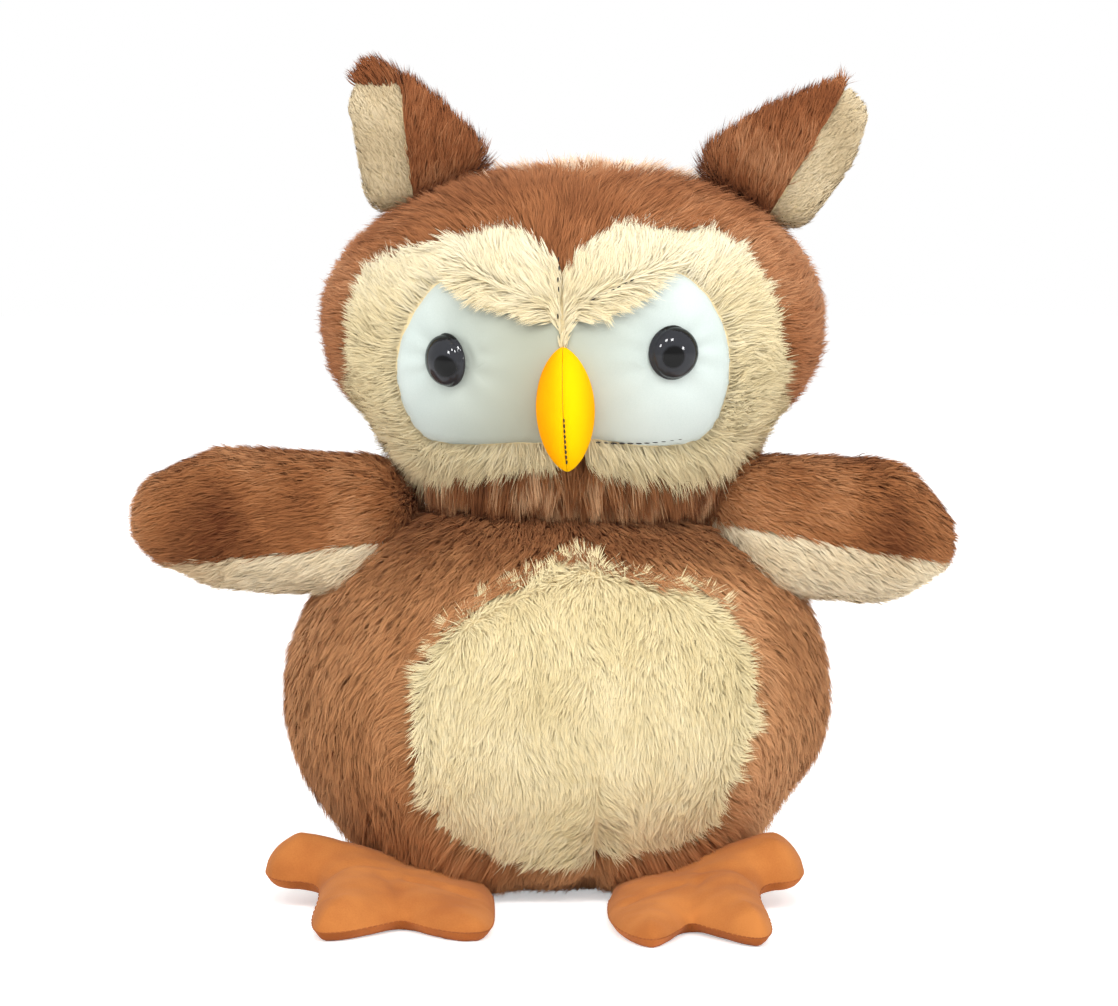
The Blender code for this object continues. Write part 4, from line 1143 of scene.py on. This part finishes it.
def tuft_mean(values, tuft):
    count = np.bincount(tuft)
    return np.stack([np.bincount(tuft, values[:, k]) / count for k in range(values.shape[1])], 1)[tuft]


# %% Laying the hairs
FACES_PER_PIECE = 199000
ROOT_SINK = 0.0004
LOWEST_HAIR = 0.0002


def lay_pile(name, sown, material, body, slot, comb, length, lift, tone, dice,
             width=0.00032, tuft_size=0.0020, gather=0.38, wild=0.20):
    """Hairs on sown points: comb, length, lift and tone are functions of (points, normals)."""
    points, normals = sown
    count = min(len(points), FACES_PER_PIECE // 3)
    points, normals = points[:count], normals[:count]
    way = comb(points, normals) + dice.normal(0, wild, points.shape)
    way -= normals * np.sum(way * normals, 1)[:, None]
    way = unit(way)
    tuft = tufts(points, tuft_size, dice)
    tuft_dice = dice.random(tuft.max() + 1)[tuft]
    tuft_way = dice.normal(0, 0.16, (tuft.max() + 1, 3))[tuft]
    way = unit(way + tuft_way - normals * np.sum(tuft_way * normals, 1)[:, None])
    long = length(points, normals) * dice.normal(1, 0.14, count).clip(0.55, 1.4)
    long *= 0.86 + 0.28 * tuft_dice
    angle = lift(points, normals) + dice.normal(0, 0.10, count) + 0.22 * (tuft_dice - 0.5)
    up = np.clip(angle + 0.35, 0.05, 1.5)[:, None]
    flat = np.clip(angle - 0.15, -0.02, 1.5)[:, None]
    middle = points + (way * np.cos(up) + normals * np.sin(up)) * long[:, None] * 0.45
    tip = middle + (way * np.cos(flat) + normals * np.sin(flat)) * long[:, None] * 0.55
    tip += (tuft_mean(tip, tuft) - tip) * gather
    middle += (tuft_mean(middle, tuft) - middle) * gather * 0.35
    along = unit(tip - points)
    across = unit(np.cross(along, normals))
    twist = dice.normal(0, 0.45, count)[:, None]
    over = np.cross(across, along)
    across = across * np.cos(twist) + over * np.sin(twist)
    wide = (width * dice.uniform(0.75, 1.3, count))[:, None]
    base = points - normals * ROOT_SINK
    verts = np.stack([base - across * wide / 2, base + across * wide / 2,
                      middle + across * wide * 0.42, middle - across * wide * 0.42, tip], 1)
    verts[:, :, 2] = np.maximum(verts[:, :, 2], LOWEST_HAIR)
    shade = tone(points, normals) + 0.13 * (tuft_dice - 0.5) + dice.normal(0, 0.06, count)
    shade = np.clip(shade, 0.02, 0.98)
    lean = unit(normals * 0.8 + unit(np.cross(across, along)) * 0.35 + way * 0.12)
    return hair_mesh(name, verts, shade, lean, material, body)


def hair_mesh(name, verts, shade, lean, material, body):
    count = len(verts)
    data = bpy.data.meshes.new(name)
    data.vertices.add(count * 5)
    data.vertices.foreach_set("co", verts.astype(np.float32).ravel())
    start = np.arange(count)[:, None] * 5
    loops = (start + np.array([[0, 1, 2, 3, 3, 2, 4]])).astype(np.int32)
    data.loops.add(count * 7)
    data.loops.foreach_set("vertex_index", loops.ravel())
    data.polygons.add(count * 2)
    begins = (np.arange(count)[:, None] * 7 + np.array([[0, 4]])).astype(np.int32)
    data.polygons.foreach_set("loop_start", begins.ravel())
    data.polygons.foreach_set("use_smooth", np.ones(count * 2, bool))
    uv = data.uv_layers.new(name="OFBake")
    side = np.array([-1, 1, 1, -1, -1, 1, 0]) * 0.004
    high = np.array([0.03, 0.03, 0.5, 0.5, 0.5, 0.5, 0.97])
    table = np.empty((count, 7, 2), np.float32)
    table[:, :, 0] = shade[:, None] + side
    table[:, :, 1] = high
    uv.data.foreach_set("uv", table.ravel())
    data.update(calc_edges=True)
    lean_store = data.attributes.new("custom_normal", "FLOAT_VECTOR", "POINT")
    lean_store.data.foreach_set("vector", np.repeat(lean.astype(np.float32), 5, 0).ravel())
    data.materials.append(material)
    obj = bpy.data.objects.new(name, data)
    bpy.context.scene.collection.objects.link(obj)
    carry(obj, body)
    return obj


def cover(name, skin, density, seed, wanted, **coat):
    """Sow a skin and lay its pile, with a coat of lay_pile's own arguments."""
    dice = np.random.default_rng(seed)
    sown = sow(skin, density, dice, wanted)
    if len(sown[0]) < 50:
        return
    lay_pile(name, sown, dice=dice, **coat)
    print(name, "has", len(sown[0]), "hairs")


DOWN = np.array([0.0, 0.0, -1.0])


def fixed(value):
    return lambda points, normals: np.full(len(points), value)


# %% Body pile
BODY_HAIR = hair_material("brown_pile_body", dye(132, 82, 48), dye(180, 126, 82),
                          dye(214, 162, 116), 0.84)
BELLY_HAIR = hair_material("cream_pile_belly", dye(196, 178, 132), dye(224, 207, 160),
                           dye(238, 224, 184), 0.92)
NECK_HOLE = 0.021


def body_comb(points, normals):
    local = points - np.array([0, 0, WAIST_Z])
    outward = local * np.array([1, 1, 0]) * 4
    gap = np.where(local[:, 1] < 0, edge_distance(local[:, [0, 2]], BELLY_LOOP), 1)
    away = unit((local - np.array([0.0077, 0, 0.002])) * np.array([1, 0, 0.35]))
    top = unit(local * np.array([1, 1, 0])) * share(normals[:, 2:])
    return (DOWN + outward * 0.4 + top * 1.4 + swirl(points, 0.05, 21) * 0.3
            + away * (1.6 * np.exp(-np.maximum(gap, 0) / 0.006))[:, None])


def skirt(points):
    """1 low on the body's front, where the pile hangs over the feet."""
    out = share((np.abs(points[:, 0]) - 0.010) / 0.014)
    front = share((-0.012 - points[:, 1]) / 0.020)
    return share((0.032 - points[:, 2]) / 0.014) * front * out


def body_length(points, normals):
    low = share((0.016 - points[:, 2]) / 0.008) * np.exp(-(points[:, 0] / 0.016) ** 4)
    return 0.0066 + 0.0036 * skirt(points) - 0.0012 * low


def body_lift(points, normals):
    neck = share((points[:, 2] - 0.090) / 0.010)
    return 0.27 + 0.53 * skirt(points) - 0.10 * neck


def body_tone_and_neck_shadow(points, normals):
    patch = drift(points, 0.055, 31) * 0.10 + drift(points, 0.018, 32) * 0.07
    low_left = np.exp(-((points[:, 0] + 0.058) / 0.02) ** 2 - ((points[:, 2] - 0.035) / 0.024) ** 2)
    # Painted shadow under the head: the pile darkens near the neck.
    neck = share((points[:, 2] - 0.088) / 0.014)
    right = share(points[:, 0] / 0.03)
    return 0.52 + patch - 0.18 * low_left - 0.46 * neck + 0.10 * right


def body_wanted(sector):
    def wanted(points):
        local = points - np.array([0, 0, WAIST_Z])
        jitter = 0.0006 * drift(points, 0.004, 41)
        on_patch = (local[:, 1] < 0) & (edge_distance(local[:, [0, 2]], BELLY_LOOP) + jitter < 0)
        neck = (np.hypot(points[:, 0], points[:, 1]) < NECK_HOLE) & (points[:, 2] > 0.1)
        return ~on_patch & (points[:, 2] > 0.003) & ~neck & sector(local)
    return wanted


SECTORS = {"front_left": lambda p: (p[:, 1] < -0.010) & (p[:, 0] < 0.004),
           "front_right": lambda p: (p[:, 1] < -0.010) & (p[:, 0] >= 0.004),
           "back_left": lambda p: (p[:, 1] >= -0.010) & (p[:, 0] < 0),
           "back_right": lambda p: (p[:, 1] >= -0.010) & (p[:, 0] >= 0)}
DENSITY = 4.6
for number, (name, sector) in enumerate(SECTORS.items()):
    cover(f"body_pile_{name}", body_plush, DENSITY, 100 + number, body_wanted(sector),
          material=BODY_HAIR, body="body", slot="brown_plush", comb=body_comb,
          length=body_length, lift=body_lift, tone=body_tone_and_neck_shadow)


# %% Belly pile
def belly_edge(points, reach):
    """1 on the patch's outline, falling to 0 a reach inside it."""
    local = points - np.array([0, 0, WAIST_Z])
    return share(1 + edge_distance(local[:, [0, 2]], BELLY_LOOP) / reach)


def belly_comb(points, normals):
    out = (points - np.array([0.0077, 0, WAIST_Z + 0.002])) * np.array([1, 0, 1])
    edge = belly_edge(points, 0.0045)
    part = np.sign(points[:, 0] - 0.0105) * np.exp(-((points[:, 0] - 0.0105) / 0.012) ** 2)
    part *= share((0.045 - points[:, 2]) / 0.02)
    wave = arrows(drift(points, 0.022, 54), 0, drift(points, 0.022, 56) * 0.3)
    return (DOWN * (1 - edge)[:, None] + unit(out) * (1.3 * edge)[:, None] + wave * 0.35
            + swirl(points, 0.03, 51) * 0.25 + arrows(part, 0, 0))


def belly_length(points, normals):
    return 0.0048 + 0.0014 * belly_edge(points, 0.004)


def belly_lift(points, normals):
    high = share((points[:, 2] - 0.075) / 0.012)
    return 0.17 + (0.24 - 0.10 * high) * belly_edge(points, 0.005)


def belly_tone_and_floor_light(points, normals):
    rows = np.sin(points[:, 2] * (2 * math.pi / 0.0036) + 1.6 * drift(points, 0.02, 61))
    # Painted light from the floor lightens the low belly, where the knit's rows also show.
    low = share((0.075 - points[:, 2]) / 0.03)
    return (0.55 + (0.09 * rows + 0.22) * low + drift(points, 0.03, 62) * 0.08
            + drift(points, 0.012, 63) * 0.06)


cover("belly_pile", belly_plush, DENSITY * 1.35, 201, None, material=BELLY_HAIR, body="body",
      slot="cream_plush", comb=belly_comb, length=belly_length, lift=belly_lift, tone=belly_tone_and_floor_light,
      width=0.00029, gather=0.26, wild=0.15)

# %% Face pile
FACE_HAIR = hair_material("cream_pile_face", dye(186, 166, 124), dye(222, 206, 164),
                          dye(240, 231, 204), 0.86)
TO_HEAD = np.array(HEAD_FRAME.inverted())
FROM_HEAD = np.array(HEAD_FRAME)[:3, :3]


def head_local(points):
    return points @ TO_HEAD[:3, :3].T + TO_HEAD[:3, 3]


def brow_share(local):
    """1 in the band of pile just over the brow's lower edge."""
    x, z = np.abs(local[:, 0]), local[:, 2]
    level = 0.008 + 0.40 * x
    band = share(1 - np.abs(z - level - 0.001) / 0.0035)
    return band * share((0.031 - x) / 0.010) * (x > 0.002)


def face_comb(points, normals):
    local = head_local(points)
    x, z = local[:, 0], local[:, 2]
    out = unit(arrows(x, 0, (z + 0.006) * 1.3))
    chin = share((-0.026 - z) / 0.008)
    middle = share(1 - np.abs(x) / 0.012) * (z > 0.004)
    out += DOWN * chin[:, None] * 1.2
    out += arrows(np.sign(x) * 0.8, 0, -1.2) * brow_share(local)[:, None] * 1.9
    out += arrows(np.sign(x) * 0.8, 0, 0.2) * middle[:, None]
    return (out @ FROM_HEAD.T) + swirl(points, 0.025, 71) * 0.28


def chin_share(local):
    return share((-0.024 - local[:, 2]) / 0.010)


def hanging(points, normals, rest):
    """The lift that lets a hair hang straight down at the chin, and a resting lift elsewhere."""
    chin = chin_share(head_local(points))
    return rest * (1 - chin) + np.arcsin(np.clip(-normals[:, 2], 0, 0.95)) * chin


def face_length(points, normals):
    local = head_local(points)
    near = share(1 - eye_gap(local) / 0.004) * (local[:, 2] < 0.004)
    return (0.0064 + 0.0048 * chin_share(local) + 0.0026 * brow_share(local)) * (1 - 0.3 * near)


def face_lift(points, normals):
    local = head_local(points)
    return hanging(points, normals, 0.40 + 0.12 * brow_share(local))


def face_tone(points, normals):
    local = head_local(points)
    high = share((local[:, 2] - 0.004) / 0.02)
    low = share((-0.026 - local[:, 2]) / 0.012)
    side = share((np.abs(local[:, 0]) - 0.045) / 0.015)
    return 0.50 + 0.30 * high - 0.16 * low - 0.12 * side + drift(points, 0.02, 74) * 0.07


def face_wanted(name):
    def wanted(points):
        local = head_local(points)
        gap = edge_distance(local[:, [0, 2]], EYE_LOOPS[name])
        beak = np.hypot(local[:, 0] / 0.0070, (local[:, 2] - BEAK_Z) / 0.0165) > 1
        return (gap > -0.0004) & beak
    return wanted


for number, name in enumerate(("left", "right")):
    cover(f"face_pile_{name}", face_plush[name], DENSITY * 1.5, 300 + number, face_wanted(name),
          material=FACE_HAIR, body="head", slot="cream_plush", comb=face_comb,
          length=face_length, lift=face_lift, tone=face_tone)

# %% Head pile
HEAD_HAIR = hair_material("brown_pile_head", dye(108, 58, 30), dye(160, 102, 63),
                          dye(206, 154, 112), 0.74)


def head_comb(points, normals):
    local = head_local(points)
    x, y, z = local.T
    nape = share(y / 0.03)
    back = arrows(x * 6, 0.55 * (1 - nape), z * 4 - 1.4 * nape)
    crown = share((z - 0.025) / 0.012)
    chin = share((-0.020 - z) / 0.012)
    gap = np.where(y < 0, edge_distance(local[:, [0, 2]], FACE_LOOP), 1)
    away = unit(arrows(x, 0, z + 0.004)) * (1.2 * np.exp(-np.maximum(gap, 0) / 0.006))[:, None]
    out = back + away + arrows(x * 30, 0.1 + 0.8 * nape, 0.3) * crown[:, None]
    out = out * (1 - chin)[:, None] + arrows(x * 4, y * 3, -1.6) * chin[:, None]
    return (out @ FROM_HEAD.T) + swirl(points, 0.03, 81) * 0.3


def head_length(points, normals):
    local = head_local(points)
    crown = share((local[:, 2] - 0.025) / 0.015)
    front = np.clip(1 - local[:, 1] / 0.04, 0.6, 1)
    return 0.0068 + 0.0012 * crown + 0.0062 * chin_share(local) * front


def head_lift(points, normals):
    local = head_local(points)
    crown = share((local[:, 2] - 0.025) / 0.015)
    return hanging(points, normals, 0.42 + 0.14 * crown)


def head_tone(points, normals):
    local = head_local(points)
    top = share((local[:, 2] - 0.02) / 0.02) * (local[:, 1] < 0.02)
    return (0.52 - 0.14 * top + 0.2 * chin_share(local) + drift(points, 0.04, 84) * 0.1
            + drift(points, 0.014, 85) * 0.08)


def head_wanted(sector):
    def wanted(points):
        local = head_local(points)
        jitter = 0.0006 * drift(points, 0.004, 42)
        face = (local[:, 1] < 0) & (edge_distance(local[:, [0, 2]], FACE_LOOP) + jitter < 0)
        low = np.hypot(points[:, 0] - 0.0045, points[:, 1]) < NECK_HOLE
        return ~face & ~(low & (points[:, 2] < 0.13)) & sector(local)
    return wanted


def on_fringe(p):
    return (p[:, 2] < -0.028) & (p[:, 1] < -0.004)


HEAD_SECTORS = {"crown": lambda p: p[:, 2] > 0.021,
                "left": lambda p: (p[:, 2] <= 0.021) & (p[:, 0] < 0) & ~on_fringe(p),
                "right": lambda p: (p[:, 2] <= 0.021) & (p[:, 0] >= 0) & ~on_fringe(p)}
HEAD_COAT = dict(body="head", slot="brown_plush", comb=head_comb)
for number, (name, sector) in enumerate(HEAD_SECTORS.items()):
    cover(f"head_pile_{name}", head_plush, DENSITY, 400 + number, head_wanted(sector), **HEAD_COAT,
          material=HEAD_HAIR, length=head_length, lift=head_lift, tone=head_tone)

# %% Wisps on the crown, painted pale for the light that shines through them
BACKLIT_WISP_HAIR = hair_material("pale_wisps_backlit", dye(196, 150, 112), dye(226, 190, 156),
                          dye(246, 228, 206), 0.8)


def on_crown(points):
    local = head_local(points)
    out = np.hypot((local[:, 0] - 0.006) / 0.036, local[:, 1] / 0.019)
    return (local[:, 2] > 0.040) & (out + 0.18 * drift(points, 0.009, 89) < 0.8)


cover("crown_wisps", head_plush, 1.3, 405, on_crown, **HEAD_COAT, material=BACKLIT_WISP_HAIR,
      length=fixed(0.0092), lift=fixed(0.75), tone=lambda p, n: 0.5 + drift(p, 0.01, 88) * 0.2,
      tuft_size=0.0040, gather=0.55)

# %% Fringe under the chin
FRINGE_HAIR = hair_material("brown_pile_fringe", dye(84, 44, 22), dye(148, 96, 58),
                            dye(232, 190, 146), 0.42)


def fringe_tone(points, normals):
    return 0.50 + drift(points, 0.006, 86) * 0.26 + drift(points, 0.03, 87) * 0.12


cover("head_pile_fringe", head_plush, DENSITY * 1.2, 404, head_wanted(on_fringe), **HEAD_COAT,
      material=FRINGE_HAIR, length=head_length, lift=head_lift, tone=fringe_tone,
      tuft_size=0.0030, gather=0.60)

# %% Ear pile
EAR_BROWN_HAIR = hair_material("brown_pile_ear", dye(88, 44, 22), dye(136, 80, 46),
                               dye(196, 142, 100), 0.72)
EAR_CREAM_HAIR = hair_material("cream_pile_ear", dye(160, 138, 104), dye(198, 178, 142),
                               dye(222, 206, 174), 0.85)
EAR_CRESTS = {"left": 0.0065, "right": 0.0}


def cover_ear(name, seed):
    """Brown pile on the inner half and the crest, and short cream pile on the outer half."""
    ear = ear_parts[name]
    way, side = np.array(ear["way"]), np.array(ear["out"])
    crest = max(v.co.z for v in ear["cream"].data.vertices) - EAR_CRESTS[name]
    brown = dict(material=EAR_BROWN_HAIR, slot="brown_plush", lift=fixed(0.55))
    cream = dict(material=EAR_CREAM_HAIR, slot="cream_plush", lift=fixed(0.16))
    for kind, skin, turn, wanted, lean, long, coat in (
            ("brown", "brown", 0, None, -0.5, 0.0068, brown),
            ("crest", "cream", 0, lambda p: p[:, 2] > crest, 0.3, 0.0060, brown),
            ("cream", "cream", 1, lambda p: p[:, 2] <= crest, 0.15, 0.0030, cream)):
        cover(f"ear_pile_{kind}_{name}", ear[skin], DENSITY * 1.4, seed + turn, wanted, **coat,
              body=f"ear_{name}", length=fixed(long),
              comb=lambda p, n, lean=lean: np.tile(way + side * lean, (len(p), 1)),
              tone=lambda p, n: 0.5 + drift(p, 0.02, 91) * 0.12)


cover_ear("left", 500)
cover_ear("right", 502)

# %% Wing pile
WING_HAIRS = {
    "brown": hair_material("brown_pile_wing", dye(90, 44, 20), dye(154, 98, 58),
                           dye(206, 152, 106), 0.82),
    "cream": hair_material("cream_pile_wing", dye(176, 138, 100), dye(216, 196, 160),
                           dye(242, 230, 202), 0.8)}


def wing_tone(name, kind):
    def tone(points, normals):
        far = np.abs(points[:, 0])
        if kind == "cream":
            reach = 0.45 if name == "left" else 0.1
            fade = reach * share((far - 0.085) / 0.025)
            return 0.66 - fade + drift(points, 0.025, 95) * 0.1
        depth = 0.44 if name == "left" else 0.24
        middle = np.exp(-((far - 0.095) / 0.020) ** 2 - ((points[:, 2] - 0.104) / 0.013) ** 2)
        tip = share((far - 0.108) / 0.012)
        return 0.54 - depth * middle + 0.22 * tip + drift(points, 0.025, 95) * 0.1
    return tone


def cover_wing(name, seed):
    """Pile that lies along the wing and droops a little."""
    wing = wing_parts[name]
    for turn, (kind, drop) in enumerate((("brown", -0.3), ("cream", -0.5))):
        along = np.array(wing["way"]) + np.array([0, 0, drop])
        cover(f"wing_pile_{kind}_{name}", wing[kind], DENSITY * 1.25, seed + turn, None,
              material=WING_HAIRS[kind], body=wing["joint"], slot=f"{kind}_plush",
              comb=lambda p, n, along=along: np.tile(along, (len(p), 1)),
              length=fixed(0.0056), lift=fixed(0.30), tone=wing_tone(name, kind), gather=0.36)


cover_wing("left", 600)
cover_wing("right", 602)


# %% [markdown]
# ## Stitches
# Where the photograph shows thread, each stitch is a short capsule pressed into the cloth.

# %% Thread
def stitches(name, places, material, body, radius=0.00022):
    """Short capsules between pairs of points."""
    mesh = bmesh.new()
    for start, end in places:
        start, end = Vector(start), Vector(end)
        along = end - start
        turn = along.to_track_quat("Z", "Y").to_matrix().to_4x4()
        made = bmesh.ops.create_uvsphere(mesh, u_segments=8, v_segments=6, radius=1)
        size = Matrix.Diagonal((radius, radius, along.length / 2 + radius, 1))
        bmesh.ops.transform(mesh, matrix=Matrix.Translation((start + end) / 2) @ turn @ size,
                            verts=made["verts"])
    return put(name, mesh, material, body)


def head_point(x, z, inset):
    return HEAD_FRAME @ Vector((x, float(HEAD.front(x, z, inset)), z))


beak_places = []
for number in range(9):
    z = -0.0180 - number * 0.0015
    level = math.sqrt(max(1 - ((z - BEAK_Z) / BEAK_HALF_HEIGHT) ** 2, 0))
    y = float(HEAD.front(0, BEAK_Z)) - BEAK_DEPTH * level ** 1.3 * 0.93 - 0.0001
    beak_places.append((HEAD_FRAME @ Vector((0.0002, y, z)), HEAD_FRAME @ Vector((0.0002, y, z - 0.0007))))
stitches("beak_stitches", beak_places, BLACK_THREAD, "head", 0.00028)

rim = []
for number in range(11):
    x = 0.0075 + number * 0.0023
    z = -0.0045 - 0.0235 * (0.93 + 0.035 * math.sin(number / 11 * math.pi))
    rim.append((head_point(x, z, 0.0019), head_point(x + 0.0013, z - 0.0001, 0.0019)))
stitches("eye_patch_stitches", rim, BLACK_THREAD, "head", 0.00025)

brow = [(head_point(x, z, -0.0004), head_point(x, z - 0.0011, -0.0004))
        for x, z in ((-0.0006, 0.0262), (-0.0004, 0.0238), (-0.0008, 0.0206), (-0.0006, 0.0180),
                     (-0.0010, 0.0106))]
for number in range(7):
    x, z = 0.0085 + number * 0.0018, 0.0142 + number * 0.0008
    brow.append((head_point(x, z, -0.0002), head_point(x + 0.0008, z + 0.0003, -0.0002)))
stitches("brow_stitches", brow, BLACK_THREAD, "head", 0.00022)

for name in FEET:
    loop = foot_loop(name)
    loop = np.array([loop[i] for i in range(len(loop)) if loop[i, 1] < FEET[name]["length"] * 0.75])
    shift = foot_frame(name)
    places = [shift @ Vector((x, y, 0.0001 - foot_sink(name, x, y))) for x, y in loop]
    pairs = [(a.lerp(b, 0.12), a.lerp(b, 0.8)) for a, b in zip(places, places[1:])
             if (b - a).length < 0.006]
    stitches(f"foot_stitches_{name}", pairs, RUST_THREAD, f"foot_{name}", 0.0002)
print("stitches made")

# %% [markdown]
# ## Floor
# The photograph has a white ground. The floor is near white for the camera and keeps the owl's
# soft shadow.

# %% White floor
mesh = bmesh.new()
bmesh.ops.create_grid(mesh, x_segments=2, y_segments=2, size=3.0)
floor_data = bpy.data.meshes.new("floor")
mesh.to_mesh(floor_data)
mesh.free()
floor = bpy.data.objects.new("floor", floor_data)
bpy.context.scene.collection.objects.link(floor)
ground, tree, shader = new_material(
    "white_ground", (0.9, 0.9, 0.9, 1), Base_Color=(0.9, 0.9, 0.9, 1), Roughness=1.0,
    Specular_IOR_Level=0.0, Emission_Color=(1, 1, 1, 1))
glow = node(tree, "Math", operation="MULTIPLY")
glow.inputs[1].default_value = 0.45
tree.links.new(seen_by(tree, "Is Camera Ray", "Is Glossy Ray"), glow.inputs[0])
tree.links.new(glow.outputs[0], shader.inputs["Emission Strength"])
floor_data.materials.append(ground)
print("floor laid")
